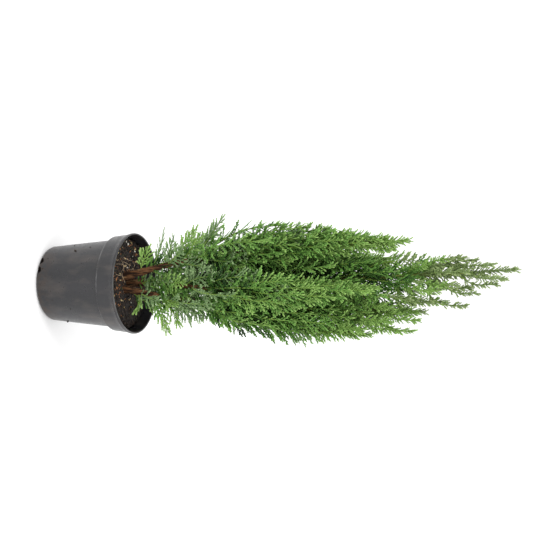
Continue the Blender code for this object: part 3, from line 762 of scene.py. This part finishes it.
def bark_source(leader):
    """The limb's middle line. A stem starts a little way down in the compost."""
    steps = int(leader.wood / BARK_STRIDE)
    chain = [leader.at(leader.wood * i / steps)[0] for i in range(steps + 1)]
    thickness = [leader.radius_at(leader.wood * i / steps) for i in range(steps + 1)]
    if leader.parent is None:
        chain.insert(0, chain[0] - UP * FOOT_SUNK)
        thickness.insert(0, thickness[0] * FOOT_SPREAD)
    return chain_source("bark_line", [chain], {"thickness": thickness})


def vectors(tree, operation, first, second):
    """The outcome of one sum on two vectors."""
    return made(tree, "ShaderNodeVectorMath", {0: first, 1: second}, operation=operation)


def times(tree, vector, number):
    return made(tree, "ShaderNodeVectorMath", {0: vector, 3: number}, operation="SCALE")


def bark_tree():
    """A limb's skin: a tube whose surface is drawn out into strips and flakes along it."""
    tree, given = new_tree(
        "bark", ("Sides", "Int"), ("Relief", "Float"), ("Grain", "Float"), ("Finish", "Material")
    )
    tube = tubes_along(tree, given["Geometry"], given["Sides"])
    position = made(tree, "GeometryNodeInputPosition")
    drawn = vectors(tree, "MULTIPLY", position, (1.0, 1.0, BARK_STRETCH))
    inputs = {"Vector": drawn, "Scale": given["Grain"], "Detail": 4.0}
    strips = spread(tree, made(tree, "ShaderNodeTexNoise", inputs), 0.35, 0.65, -0.5, 1.0)
    proud = maths(tree, "MULTIPLY", strips, given["Relief"])
    offset = times(tree, made(tree, "GeometryNodeInputNormal"), proud)
    moved = made(tree, "GeometryNodeSetPosition", {0: tube, "Offset": offset})
    end_tree(tree, moved, given["Finish"], True)
    return tree


def bark_finish():
    """Red-brown fibres, paler where strips have lifted and dark between them, green higher up."""
    material, tree, shader = new_finish("bark", (0.15, 0.06, 0.032), 0.8)
    fibres = patches(tree, 560, 5, 0.42, 0.60, 1, (1, 1, 0.12))
    brown = blend_colours(tree, fibres, (0.016, 0.006, 0.002), (0.135, 0.060, 0.024))
    lifted = patches(tree, 300, 4, 0.56, 0.66, 0.8, (1, 1, 0.2))
    weathered = blend_colours(tree, lifted, brown, (0.21, 0.130, 0.062))
    green_share = spread(tree, height_up(tree), 0.21, 0.32, 0, 0.85)
    young = blend_colours(tree, green_share, weathered, (0.17, 0.22, 0.045))
    cracks = relief(tree, 1100, 4, 0.0005, 0.9, (1, 1, 0.15))
    give(tree, shader, {"Base Color": young, "Specular IOR Level": 0.2, "Normal": cracks})
    return material


leaders = [Leader(row) for row in LIMBS]
bark_growth, bark = bark_tree(), bark_finish()
for leader in leaders:
    limb = grown(f"{leader.name}_bark", bark_source(leader), bark_growth, {
        "Sides": BARK_SIDES, "Relief": BARK_RELIEF * min(1, leader.radius / RELIEF_RADIUS),
        "Grain": BARK_GRAIN, "Finish": bark,
    })
    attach(limb, "root")
    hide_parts(leader.name)

# Foliage: green shoots grow on from the limbs by the rule of the solids, more of them and finer.
# A shoot carries thin strands all along it that arch outwards, and a strand is a green rib with
# short lobes of overlapping scale leaves along both sides of it, and a blunt end.
SHOOTS_PER_MASS = 8
FIRST_LEVEL = 0.024
LEVEL_POWER = 1.2
FILLING_POWER = 1.4
WOOD_END = 0.004
GOLDEN_SHARE = 0.618
GOLDEN_ANGLE = math.radians(137.5)
OUTER_SWEEP = math.radians(120)
MIDDLE_RADIUS = 0.012
INWARD_SHARE = 0.50
# Shares of its reach that a shoot has: at random between two masses, and at the place of a mass
# from one that grows forwards or back to one that grows sideways
FULLNESS = (0.8, 1.08)
FULL_REACH = (1.20, 0.96)
STRAND_OVERHANG = 0.003
LOW_SHRINK = 0.52
LOW_REACH_HEIGHT = 0.24
LOW_REACH_FADE = 0.1
FIRST_ANGLE = math.radians(42)
FIRST_ANGLE_SHARES = (0.6, 1)
LAST_ANGLE = math.radians(6)
TWIG_RISE = 1.55
TWIG_LENGTH = 1.55
SHORTEST_TWIG = 0.004
FROND_LENGTH = 0.038
SHORT_FROND = 0.45
FROND_SHARE = 0.8
SIDE_ROLL = 1.4
SHOOT_STEPS = 8
SHOOT_RADIUS = 0.00080
AXIS_RADIUS = 0.00040
BARE_FOOT = 0.006
BARE_SHARE = 0.3
# Strands along a shoot: spacing, length at a leader's top and from TIP_LEVEL down, angle to the
# shoot, how far they scatter out of its flat side, and how far they bow outwards
STRAND_SPACING = 0.0021
STRAND_LENGTHS = (0.0034, 0.016)
STRAND_ANGLE = math.radians(40)
STRAND_SCATTER = 0.55
STRAND_BOW = 0.25
STRAND_STEPS = 3
SHORTEST_STRAND = 0.0018
# How much closer they stand and how much more they scatter, from a leader's top down
SPACING_SHARES = (0.4, 1)
SCATTER_SHARES = (2.5, 1)
# Place along a shoot where they are longest, and how fast they get shorter from there
FULL_PLACE = 0.45
TAPER = 1.2
FACE_TURN = 0.5
RIB_RADIUS = 0.00070
RIB_TAPER = 0.2
# The strand that leads on at a shoot's end: distance of its root from there, length, more light
LAST_STRAND = (0.004, 0.005, 0.15)
TIP_LEVEL = 0.11
TIP_POWER = 1.3
TOP_POWER = 3.2
# Light in the heart of the crown, and what is added far out, up to its top and down to its foot
HEART_LIGHT = 0.25
OUT_LIGHT = 0.34
HIGH_LIGHT = 0.36
LOW_LIGHT = 0.32
CROWN_RADIUS = 0.055
MIDDLE_HEIGHT = 0.24
LIGHT_RISE = 0.24
LIGHT_FALL = 0.08
BRIGHTEST = 0.76
SHOOT_SHADE = 0.18
STRAND_SHADE = 0.09
END_LIGHT = 0.30
END_LIGHT_FROM = 0.6
# Light that is added or taken off on four of the limbs, and then what is added in the highest
# tops and at every limb's tip
LEADER_GLOWS = {
    "bough_front": -0.03, "stem_left": 0.02, "bough_far_right": -0.04, "bough_back_left": -0.06,
}
TOP_GLOW = 0.22
TOP_HEIGHT = 0.385
TOP_FADE = 0.08
TIP_GLOW = 0.30
LOBE_SPACING = 0.0017
LOBE_LENGTHS = (0.0023, 0.0033)
LOBE_GIRTH = 0.0070
LOBE_GROWTH = (0.20, 1.25)
LOBE_ANGLE = math.radians(23)
LOBE_END = 0.55
# Strands that clothe a limb itself: spacing along it, length, and angle to it
CORE_SPACING = 0.0009
CORE_LENGTH = 0.024
CORE_ANGLE = math.radians(36)
CORE_CLOSING = 0.6
CORE_START = 0.03
CORE_SHADE = (0.46, 0.14)
OPEN_HEIGHT = 0.175
OPEN_SPACING = 2.4
LOW_SPACING = 0.0019
LOW_SHARE = 0.75
LOW_HEIGHT = 0.12
LOW_FADE = 0.14
LOW_PLUMP = 0.35
LOW_GLOW = 0.20
LOW_LOBE = 0.0038
LEADING_SPACING = 0.0007
LEADING_LENGTH = 0.0040
LEADING_OVERLAP = 0.01
LEADING_SHADE = (0.1, -TIP_GLOW)
# Greens of the lobes and of their ends. The first five are painted shade and painted light on one
# green, from the shaded heart of the crown to its sunlit tips; then the olive green of the fresh
# tops, and last the greyer green of its oldest sprays
GREENS = (
    ("deep", (0.011, 0.034, 0.008), (0.028, 0.074, 0.015)),
    ("dark", (0.040, 0.104, 0.019), (0.078, 0.176, 0.034)),
    ("mid", (0.092, 0.212, 0.038), (0.146, 0.300, 0.062)),
    ("leafy", (0.136, 0.286, 0.060), (0.206, 0.380, 0.096)),
    ("light", (0.190, 0.335, 0.076), (0.272, 0.428, 0.124)),
    ("fresh", (0.180, 0.258, 0.094), (0.272, 0.348, 0.148)),
    ("silvery", (0.162, 0.268, 0.108), (0.262, 0.372, 0.174)),
)
SILVERY_SHARE = 0.60
SILVERY_HEIGHT = 0.29
SILVERY_FADE = 0.12
DARK, FRESH, SILVERY = 1, 5, 6
FRESH_HEIGHT = 0.36
FRESH_FADE = 0.07
# Small shoots that crowd the tops, each with an upright finger at its end
TOP_FINGER = 0.016
TOP_SPLAY = 3.0
TOP_ROLL = 0.8
TOP_SHOOTS_HEIGHT = 0.412
TOP_SCATTER = 2.0
TOP_SPACING = 0.0006
TOP_TAPER = 0.2
TOP_LOBE = 0.0026
# Each row: distance below the stem's tip, place of the shoot's own tip, length of its strands
TOP_SHOOTS = (
    ("stem_centre", (
        (0.046, (-0.0052, -0.004, 0.4845), 0.0025), (0.058, (0.0006, 0.000, 0.4765), 0.0025),
        (0.075, (-0.0183, -0.005, 0.4730), 0.0032), (0.072, (0.0088, -0.002, 0.4580), 0.0026),
        (0.085, (0.0206, 0.002, 0.4450), 0.0028), (0.090, (-0.0232, 0.001, 0.4560), 0.0032),
        (0.095, (-0.0250, -0.008, 0.4470), 0.0032), (0.090, (-0.0120, -0.012, 0.4500), 0.0033),
        (0.080, (-0.0090, 0.014, 0.4620), 0.0032), (0.095, (0.0040, 0.012, 0.4480), 0.0033),
        (0.100, (0.0010, -0.012, 0.4400), 0.0037), (0.105, (-0.0180, 0.012, 0.4420), 0.0037),
        (0.110, (0.0175, 0.010, 0.4235), 0.0044), (0.115, (0.0180, -0.004, 0.4130), 0.0044),
        (0.110, (-0.0185, -0.006, 0.4230), 0.0040), (0.115, (0.0060, -0.014, 0.4230), 0.0046),
    )),
    ("stem_right", (
        (0.040, (0.0355, 0.004, 0.3980), 0.0030), (0.075, (0.0360, -0.006, 0.3720), 0.0046),
        (0.085, (0.0400, 0.000, 0.3600), 0.0060), (0.100, (0.0440, -0.004, 0.3450), 0.0070),
        (0.080, (0.0220, -0.004, 0.3720), 0.0060), (0.052, (0.0460, 0.002, 0.3930), 0.0032),
        (0.066, (0.0455, 0.006, 0.3760), 0.0037), (0.046, (0.0190, 0.010, 0.3930), 0.0032),
    )),
    ("stem_left", (
        (0.036, (-0.0480, -0.006, 0.3740), 0.0032), (0.036, (-0.0340, -0.012, 0.3780), 0.0032),
    )),
)
# Shoots that lean out of the stems low down, or fill the middle of the crown. The first two hang
# over the rim. Each row: distance up the stem in mm, compass angle, rise of its foot and of its
# tip in degrees, length of the shoot and of its strands in mm
RIM_SHOOTS = 2
LOW_ROLL = (0.7, 1.9)
LOW_SHOOTS = (
    ("stem_left", ((18, 160, 16, 8, 25, 10),)),
    ("stem_right", ((16, -24, 28, -16, 20, 9),)),
    ("stem_left", (
        (34, 178, 26, 8, 40, 5), (44, 200, 40, 24, 35, 10), (52, 168, 42, 26, 37, 11),
        (60, 188, 44, 28, 40, 12), (68, 216, 46, 34, 40, 13), (80, 182, 44, 34, 51, 13),
        (50, 240, 50, 42, 40, 14), (62, 142, 46, 34, 48, 16), (76, 178, 48, 34, 43, 14),
        (46, 120, 48, 40, 42, 15), (20, 150, 56, 60, 28, 9), (64, -70, 62, 78, 42, 13),
        (74, -115, 60, 74, 46, 14), (86, -80, 58, 74, 48, 15), (98, -55, 58, 74, 48, 16),
        (108, -110, 58, 72, 50, 17),
    )),
    ("stem_right", (
        (24, 8, 34, 26, 44, 9), (32, -18, 38, 28, 38, 10), (42, -2, 42, 28, 34, 12),
        (52, 20, 42, 30, 30, 12), (60, -30, 46, 38, 28, 12), (68, 0, 48, 38, 25, 12),
        (34, 60, 44, 40, 38, 11), (40, -60, 50, 56, 32, 9), (50, -100, 62, 76, 30, 9),
        (64, -75, 60, 74, 32, 9), (6, 6, 52, 64, 28, 9), (14, -40, 62, 68, 30, 9),
        (20, 34, 58, 64, 32, 12),
    )),
    ("stem_centre", (
        (6, -84, 72, 86, 34, 9), (12, -70, 70, 84, 36, 10), (14, -110, 62, 78, 50, 15),
        (18, -60, 58, 74, 52, 16), (24, -150, 56, 70, 50, 16), (30, -90, 52, 68, 50, 17),
        (36, -30, 54, 70, 44, 13), (20, 90, 50, 66, 52, 17), (28, 60, 46, 60, 50, 17),
        (32, 125, 46, 60, 50, 17), (44, 30, 50, 64, 42, 13), (46, 200, 52, 66, 46, 17),
        (40, -120, 60, 76, 46, 15), (54, -70, 58, 74, 46, 16), (60, 150, 58, 74, 46, 16),
        (56, 210, 58, 74, 46, 16),
    )),
    ("stem_left", (
        (30, 20, 62, 78, 42, 12), (48, 5, 60, 76, 44, 14), (66, 40, 60, 76, 46, 15),
    )),
    ("stem_centre", (
        (165, 190, 56, 80, 46, 14), (185, 165, 56, 80, 46, 14), (205, 205, 56, 80, 44, 13),
        (225, 175, 58, 80, 42, 13), (245, 190, 60, 80, 38, 12), (150, 175, 56, 80, 46, 15),
    )),
)


def frame_about(heading):
    """Two directions square to a heading and to each other."""
    aside = heading.cross(Vector((0, 1, 0)))
    if aside.length < 0.2:
        aside = heading.cross(Vector((1, 0, 0)))
    aside.normalize()
    return aside, heading.cross(aside)


def turned(first, second, angle):
    """A direction turned by an angle from one towards another."""
    return first * math.cos(angle) + second * math.sin(angle)


def between(ends, share):
    return ends[0] + (ends[1] - ends[0]) * share


class Shoot:
    """A curved green shoot: its course, and the flat side that its sprays lie in."""

    def __init__(self, start, first, later, twig, total, roll):
        self.start, self.first, self.later = start, first.normalized(), later.normalized()
        self.twig, self.total = twig, total
        self.face = turned(*frame_about(self.first), roll)

    def course(self, distance):
        share = min(1, distance / self.twig)
        heading = self.first.lerp(self.later, share).normalized()
        middle = self.first.lerp(self.later, share / 2).normalized()
        point = self.start + middle * min(distance, self.twig)
        return point + heading * max(0, distance - self.twig), heading

    def face_at(self, heading):
        return (self.face - heading * self.face.dot(heading)).normalized()


def side_shoot(leader, i, rng):
    """The leader's side shoot at place i, counted from the top in foliage masses, and how far it
    is grown, from 0 in the leader's top to 1 below it."""
    crown_out = Vector(leader.points[2])
    crown_out.z = 0
    lowest = leader.length - leader.bare - TWIG_RISE * leader.shoot
    level = FIRST_LEVEL + (lowest - FIRST_LEVEL) * (i / (leader.count - 1)) ** LEVEL_POWER
    place_round = i * SHOOTS_PER_MASS
    if crown_out.length > MIDDLE_RADIUS:
        sweep = 2 * ((0.5 + GOLDEN_SHARE * place_round) % 1) - 1
        angle = math.atan2(crown_out.y, crown_out.x) + OUTER_SWEEP * sweep
        facing = max(0.0, math.cos(OUTER_SWEEP * sweep))
    else:
        angle = GOLDEN_ANGLE * place_round
        facing = 1.0
    reach = leader.shoot * (1 - math.exp(-((level / leader.filling) ** FILLING_POWER)))
    sideways = math.cos(angle) ** 2
    fullness = rng.uniform(*FULLNESS)
    if i == int(i):
        fullness = between(FULL_REACH, sideways)
    reach *= (INWARD_SHARE + (1 - INWARD_SHARE) * facing) * fullness
    low = held((LOW_REACH_HEIGHT - leader.at(leader.length - level)[0].z) / LOW_REACH_FADE)
    shorter = reach - STRAND_OVERHANG * (2 * sideways - 1)
    reach = max(reach / 2, shorter * (1 - LOW_SHRINK * low * sideways))
    start, heading = leader.at(min(leader.length - level - TWIG_RISE * reach, leader.wood - WOOD_END))
    away = level_way(angle)
    away = (away - heading * away.dot(heading)).normalized()
    grown_share = min(1, level / TIP_LEVEL)
    first = turned(heading, away, FIRST_ANGLE * between(FIRST_ANGLE_SHARES, grown_share))
    later = turned(UP, away, LAST_ANGLE)
    frond = SHORT_FROND + (1 - SHORT_FROND) * min(1, reach / FROND_LENGTH)
    twig = max(reach * TWIG_LENGTH, SHORTEST_TWIG)
    total = twig + FROND_LENGTH * frond * FROND_SHARE
    return Shoot(start, first, later, twig, total, rng.uniform(-SIDE_ROLL, SIDE_ROLL)), grown_share


def top_shoot(leader, below, tip):
    """A shoot from a place below the leader's tip that rises steeply to a tip of its own."""
    start = leader.at(leader.length - below)[0]
    later = (UP + Vector(tip) * TOP_SPLAY).normalized()
    middle = Vector(tip) - later * TOP_FINGER - start
    chord = middle.normalized()
    first = 2 * chord * chord.dot(later) - later
    return Shoot(start, first, later, middle.length, middle.length + TOP_FINGER, TOP_ROLL)


def low_shoot(leader, row, rng):
    """A shoot from the table of low ones, its flat side rolled at random."""
    distance, compass, foot_rise, tip_rise, length, _ = row
    around = level_way(math.radians(compass))
    first, later = (turned(around, UP, math.radians(rise)) for rise in (foot_rise, tip_rise))
    length, start = length / 1000, leader.at(distance / 1000)[0]
    return Shoot(start, first, later, length, length, rng.uniform(*LOW_ROLL))


def brightness(point):
    """How much light a place in the crown has."""
    out = held(math.hypot(point.x, point.y) / CROWN_RADIUS)
    high = held((point.z - MIDDLE_HEIGHT) / LIGHT_RISE)
    low = held((MIDDLE_HEIGHT - point.z) / LIGHT_FALL)
    return HEART_LIGHT + OUT_LIGHT * out + HIGH_LIGHT * high + LOW_LIGHT * low


def strand_lean(share):
    """Angle of a strand to its shoot: wide at the shoot's foot, and closed at its end."""
    return STRAND_ANGLE * (1.15 - 0.35 * share - 0.45 * share**8)


def strand_fullness(share, taper):
    """Length of strands along a shoot: the longest before its middle, and shorter to its end."""
    return min(1, 0.6 + share) if share < FULL_PLACE else 1 - taper * (share - FULL_PLACE)


class Foliage:
    """Gathers the axes and strands of the whole plant, and deals each strand its green."""

    def __init__(self, seed):
        self.rng = random.Random(seed)
        self.axes, self.thickness = [], []
        self.strands = {row[0]: ([], {"face": [], "reach": [], "thickness": []}) for row in GREENS}

    def add_axis(self, points, foot, tip):
        self.axes.append(points)
        last = len(points) - 1
        self.thickness += [between((foot, tip), i / last) for i in range(last + 1)]

    def deal_green(self, height, light, tint):
        """A strand's green goes by its light. By its tint it may be the greyer one low in the
        crown, or the fresh one near the tops."""
        shaded = light + self.rng.gauss(0, STRAND_SHADE)
        rank = int(max(0, min(0.999, shaded)) * (len(GREENS) - 1))
        if rank > DARK:
            if tint < SILVERY_SHARE * held((SILVERY_HEIGHT - height) / SILVERY_FADE):
                rank = SILVERY
            elif tint < held((height - FRESH_HEIGHT) / FRESH_FADE):
                rank = FRESH
            else:
                rank = min(rank, FRESH - 1)
        return GREENS[rank][0]

    def grow_strand(self, root, heading, out, length, lobe, light, tint):
        """A strand that bows away from upright, with its longest lobes towards its end."""
        low = 1 - held((root.z - LOW_HEIGHT) / LOW_FADE)
        length *= 1 - low * (1 - LOW_SHARE)
        plump = 1 + LOW_PLUMP * low
        if length < SHORTEST_STRAND:
            return
        level = Vector((heading.x, heading.y, 0))
        bow = (level - heading * heading.dot(level)) * STRAND_BOW * length
        face = heading.cross(out).normalized() + out * self.rng.uniform(-FACE_TURN, FACE_TURN)
        chains, values = self.strands[self.deal_green(root.z, light, tint)]
        points = []
        for step in range(STRAND_STEPS + 1):
            share = step / STRAND_STEPS
            points.append(root + heading * length * share + bow * share**2)
            values["reach"].append(lobe * plump * between(LOBE_GROWTH, share))
            values["thickness"].append(RIB_RADIUS * (1 - RIB_TAPER * share))
        values["face"] += [face] * len(points)
        chains.append(points)

    def grow_shoot(self, shoot, longest, lobe, scatter, spacing, glow, taper=TAPER):
        """A shoot with strands along it, most of them near its two flat sides."""
        rng = self.rng
        points = [shoot.course(shoot.total * i / SHOOT_STEPS)[0] for i in range(SHOOT_STEPS + 1)]
        self.add_axis(points, SHOOT_RADIUS, AXIS_RADIUS)
        light = min(BRIGHTEST, brightness(points[-1]) + rng.gauss(0, SHOOT_SHADE)) + glow
        light += TOP_GLOW * held((points[-1].z - TOP_HEIGHT) / TOP_FADE)
        tint = min(0.99, rng.random() + max(0.0, glow))
        distance, side = min(BARE_FOOT, shoot.total * BARE_SHARE), 1
        while distance < shoot.total:
            share = distance / shoot.total
            root, heading = shoot.course(distance)
            face = shoot.face_at(heading)
            out = turned(face.cross(heading) * side, face, rng.gauss(0, scatter))
            way = turned(heading, out, strand_lean(share) * rng.uniform(0.85, 1.15))
            length = longest * strand_fullness(share, taper) * rng.uniform(0.75, 1.15)
            lit = light + END_LIGHT * (share - END_LIGHT_FROM)
            self.grow_strand(root, way, out, length, lobe, lit, tint)
            side = -side
            distance += spacing * rng.uniform(0.8, 1.2)
        back, length, more = LAST_STRAND
        root, heading = shoot.course(shoot.total - back)
        self.grow_strand(root, heading, shoot.face_at(heading), length, lobe, light + more, tint)

    def grow_round(self, leader, start, end, spacing, lengths, lobe, shade, power):
        """Strands set all round a limb, between two distances along it."""
        rng = self.rng
        distance, turn = start, 0.0
        while distance < end:
            root, heading = leader.at(distance)
            out = turned(*frame_about(heading), turn)
            share = (distance - start) / (end - start)
            lean = CORE_ANGLE * rng.uniform(0.7, 1.2) * (1 - CORE_CLOSING * share**8)
            length = between(lengths, 1 - (1 - share) ** power) * rng.uniform(0.75, 1.2)
            light = brightness(root) - between(shade, share)
            way = turned(heading, out, lean)
            self.grow_strand(root, way, out, length, lobe, light, rng.uniform(0.4, 0.6))
            turn += GOLDEN_ANGLE
            wider = OPEN_SPACING if root.z < OPEN_HEIGHT else 1
            distance += spacing * rng.uniform(0.8, 1.2) * wider

    def grow_leader(self, leader):
        """All that grows from a limb. In its top and low down every other shoot is left out, and
        the shoots that would end highest are left to the table of top shoots."""
        power = TOP_POWER if leader.name == "stem_centre" else TIP_POWER
        leader_glow = LEADER_GLOWS.get(leader.name, 0.0)
        for number in range((leader.count - 1) * SHOOTS_PER_MASS + 1):
            shoot, grown_share = side_shoot(leader, number / SHOOTS_PER_MASS, self.rng)
            crowded = grown_share < 0.5 or shoot.start.z < OPEN_HEIGHT
            end = shoot.course(shoot.total)[0].z
            if crowded and number % 2 or end > TOP_SHOOTS_HEIGHT:
                continue
            longest = between(STRAND_LENGTHS, grown_share**power)
            lobe = between(LOBE_LENGTHS, grown_share)
            scatter = STRAND_SCATTER * between(SCATTER_SHARES, grown_share)
            spacing = STRAND_SPACING * between(SPACING_SHARES, grown_share)
            glow = leader_glow + TIP_GLOW * (1 - grown_share) ** 3
            self.grow_shoot(shoot, longest, lobe, scatter, spacing, glow)
        low, high = max(leader.bare, CORE_START), leader.length - TIP_LEVEL
        lengths = (CORE_LENGTH, CORE_LENGTH)
        self.grow_round(leader, low, high, CORE_SPACING, lengths, LOBE_LENGTHS[1], CORE_SHADE, power)
        self.grow_leading(leader, power)

    def grow_leading(self, leader, power):
        """The shoot that leads on from the limb, with ever shorter strands up to its tip."""
        ends = (leader.wood - LEADING_OVERLAP, leader.length)
        points = [leader.at(between(ends, i / SHOOT_STEPS))[0] for i in range(SHOOT_STEPS + 1)]
        self.add_axis(points, LIMB_TIP_RADIUS, AXIS_RADIUS)
        low, high = leader.length - TIP_LEVEL, leader.length - LEADING_LENGTH
        lengths = (CORE_LENGTH, LEADING_LENGTH)
        self.grow_round(leader, low, high, LEADING_SPACING, lengths, TOP_LOBE, LEADING_SHADE, power)


def lobe_pattern():
    """A lobe one metre long, with a raised middle, a notch on each side and a blunt end."""
    outline = ((0.0, 0.08), (0.42, 0.17), (0.52, 0.10), (0.88, 0.14))
    points = [(x, -y, 0) for x, y in outline] + [(1, 0, 0)]
    points += [(x, y, 0) for x, y in reversed(outline)]
    ridge = len(points)
    points.append((0.35, 0, 0.09))
    faces = [(ridge, i, (i + 1) % ridge) for i in range(ridge)]
    lobe = pattern("lobe", points, faces)
    ends = [sum(points[i][0] for i in face) / 3 > LOBE_END for face in faces]
    lobe.data.attributes.new("end", "BOOLEAN", "FACE").data.foreach_set("value", ends)
    return lobe


def strand_tree():
    """A thin rib along each chain, lobes on alternate sides of it, and one that leads on."""
    tree, given = new_tree(
        "strands", ("Lobe", "Object"), ("Spacing", "Float"), ("Angle", "Float"), ("Girth", "Float"),
        ("Seed", "Int"), ("Finish", "Material"), ("End Finish", "Material"),
    )

    def varied(low, high, step):
        return chance(tree, low, high, maths(tree, "ADD", given["Seed"], step))

    rib = tubes_along(tree, given["Geometry"], 3, False)
    curves = made(tree, "GeometryNodeMeshToCurve", {0: given["Geometry"]})
    inputs = {"Curve": curves, "Length": given["Spacing"]}
    chains = made(tree, "GeometryNodeResampleCurve", inputs, mode="LENGTH")
    face = said(tree, "face", "FLOAT_VECTOR")
    heading = made(tree, "GeometryNodeInputTangent")
    at_tip = made(tree, "GeometryNodeCurveEndpointSelection", {"Start Size": 0, "End Size": 1})
    index = made(tree, "GeometryNodeInputIndex")
    side = maths(tree, "COSINE", maths(tree, "MULTIPLY", index, math.pi))
    away = times(tree, vectors(tree, "CROSS_PRODUCT", face, heading), side)
    back = vectors(tree, "CROSS_PRODUCT", away, heading)
    lean = maths(tree, "MULTIPLY", given["Angle"], varied(0.75, 1.25, 1))
    lean = maths(tree, "MULTIPLY", lean, maths(tree, "SUBTRACT", 1.0, at_tip))
    aside = times(tree, away, maths(tree, "SINE", lean))
    ahead = times(tree, heading, maths(tree, "COSINE", lean))
    lift = times(tree, back, varied(-0.3, 0.3, 2))
    way = vectors(tree, "ADD", vectors(tree, "ADD", aside, ahead), lift)
    rotation = made(
        tree, "FunctionNodeAxesToRotation", {"Primary Axis": way, "Secondary Axis": back},
        primary_axis="X", secondary_axis="Z",
    )
    length = maths(tree, "MULTIPLY", said(tree, "reach"), varied(0.8, 1.2, 3))
    girth = maths(tree, "MULTIPLY", maths(tree, "ADD", length, given["Girth"]), 0.5)
    size = made(tree, "ShaderNodeCombineXYZ", {0: length, 1: girth, 2: girth})
    lobes = copies(tree, chains, given["Lobe"], rotation, size)
    both = add_node(tree, "GeometryNodeJoinGeometry")
    for part in (rib, made(tree, "GeometryNodeRealizeInstances", {0: lobes})):
        tree.links.new(part, both.inputs[0])
    inputs = {0: both.outputs[0], "Material": given["Finish"]}
    green = made(tree, "GeometryNodeSetMaterial", inputs)
    at_end, finish = said(tree, "end", "BOOLEAN"), given["End Finish"]
    inputs = {0: green, "Selection": at_end, "Material": finish}
    add_node(tree, "NodeGroupOutput", {0: made(tree, "GeometryNodeSetMaterial", inputs)})
    return tree


def leaf_finish(name, colour):
    """Scale leaves: one plain green, finely pebbled, with a soft waxy shine."""
    material, tree, shader = new_finish(name, colour, 0.6)
    pebbles = relief(tree, 1400, 2, 0.0003, 0.5)
    give(tree, shader, {"Specular IOR Level": 0.12, "Normal": pebbles})
    return material


masses = [name for name in frame["nodes"] if "foliage" in name]
foliage = Foliage(42)
for leader in leaders:
    foliage.grow_leader(leader)
by_name = {leader.name: leader for leader in leaders}
for name, rows in TOP_SHOOTS:
    for below, tip, longest in rows:
        shoot = top_shoot(by_name[name], below, tip)
        foliage.grow_shoot(shoot, longest, TOP_LOBE, TOP_SCATTER, TOP_SPACING, TIP_GLOW, TOP_TAPER)
low_rows = [(by_name[name], row) for name, rows in LOW_SHOOTS for row in rows]
for number, (leader, row) in enumerate(low_rows):
    shoot = low_shoot(leader, row, foliage.rng)
    glow, lobe_length = (LOW_GLOW, LOW_LOBE) if number < RIM_SHOOTS else (0.0, LOBE_LENGTHS[1])
    foliage.grow_shoot(shoot, row[-1] / 1000, lobe_length, STRAND_SCATTER, LOW_SPACING, glow)

lobe = lobe_pattern()
strand_growth = strand_tree()
for number, (name, colour, end_colour) in enumerate(GREENS):
    source = chain_source("strand_lines", *foliage.strands[name])
    strands = grown(f"sprays_{name}", source, strand_growth, {
        "Lobe": lobe, "Spacing": LOBE_SPACING, "Angle": LOBE_ANGLE, "Girth": LOBE_GIRTH,
        "Seed": 10 * number, "Finish": leaf_finish(f"leaf_{name}", colour),
        "End Finish": leaf_finish(f"leaf_{name}_end", end_colour),
    })
    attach(strands, "root")
    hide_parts(*masses)
bpy.data.objects.remove(lobe)

twig_lines = chain_source("twig_lines", foliage.axes, {"thickness": foliage.thickness})
twigs = grown("green_twigs", twig_lines, tube_tree(), {
    "Sides": 3, "Finish": rough_finish("green_twig", (0.24, 0.36, 0.05), (0.15, 0.26, 0.03), 300, 0.6),
})
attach(twigs, "root")
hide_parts(*masses)

# Studio: a plain white floor under soft even light, and the camera of the photograph, which was
# turned on its side, so that the plant's top points to the right of the picture.
CAMERA_PLACE = (-0.0073, -1.3470, 0.7569)
CAMERA_PITCH = math.radians(20.49)
LENS = 93.2
SENSOR_WIDTH = 36
FLOOR_HALF = 9.0
LIGHT_SIZE = 1.2
LIGHT_AIM = Vector((0, 0, 0.25))
SKY_STRENGTH = 1.12


def make_floor():
    corners = [(x * FLOOR_HALF, y * FLOOR_HALF, 0) for x, y in ((-1, -1), (1, -1), (1, 1), (-1, 1))]
    mesh = new_mesh("floor", corners, [(0, 1, 2, 3)])
    floor = place("floor", mesh)
    material, tree, shader = new_finish("floor_white", (0.9, 0.9, 0.9), 0.6)
    shade = patches(tree, 1.5, 2, 0.3, 0.7)
    white = blend_colours(tree, shade, (0.96, 0.96, 0.96), (0.98, 0.98, 0.98))
    give(tree, shader, {"Base Color": white, "Specular IOR Level": 0.1})
    mesh.materials.append(material)


def make_light(name, position, power):
    data = bpy.data.lights.new(name, "AREA")
    data.size = LIGHT_SIZE
    data.energy = power
    lamp = place(name, data)
    lamp.location = position
    lamp.rotation_euler = (LIGHT_AIM - lamp.location).to_track_quat("-Z", "Y").to_euler()


make_floor()
make_light("light_left", (-1.6, -1.2, 1.9), 26)
make_light("light_right", (1.5, -1.4, 1.5), 16)
world = bpy.data.worlds.new("studio")
world.use_nodes = True
background = world.node_tree.nodes["Background"]
background.inputs["Color"].default_value = (1, 1, 1, 1)
background.inputs["Strength"].default_value = SKY_STRENGTH
bpy.context.scene.world = world
bpy.context.scene.view_settings.view_transform = "Standard"

camera_data = bpy.data.cameras.new("camera")
camera_data.lens = LENS
camera_data.sensor_width = SENSOR_WIDTH
camera_data.clip_end = 50
camera = place("camera", camera_data)
camera.location = CAMERA_PLACE
camera.rotation_euler = (math.pi / 2 - CAMERA_PITCH, 0, 0)
camera.rotation_euler.rotate_axis("Z", math.pi / 2)
bpy.context.scene.camera = camera
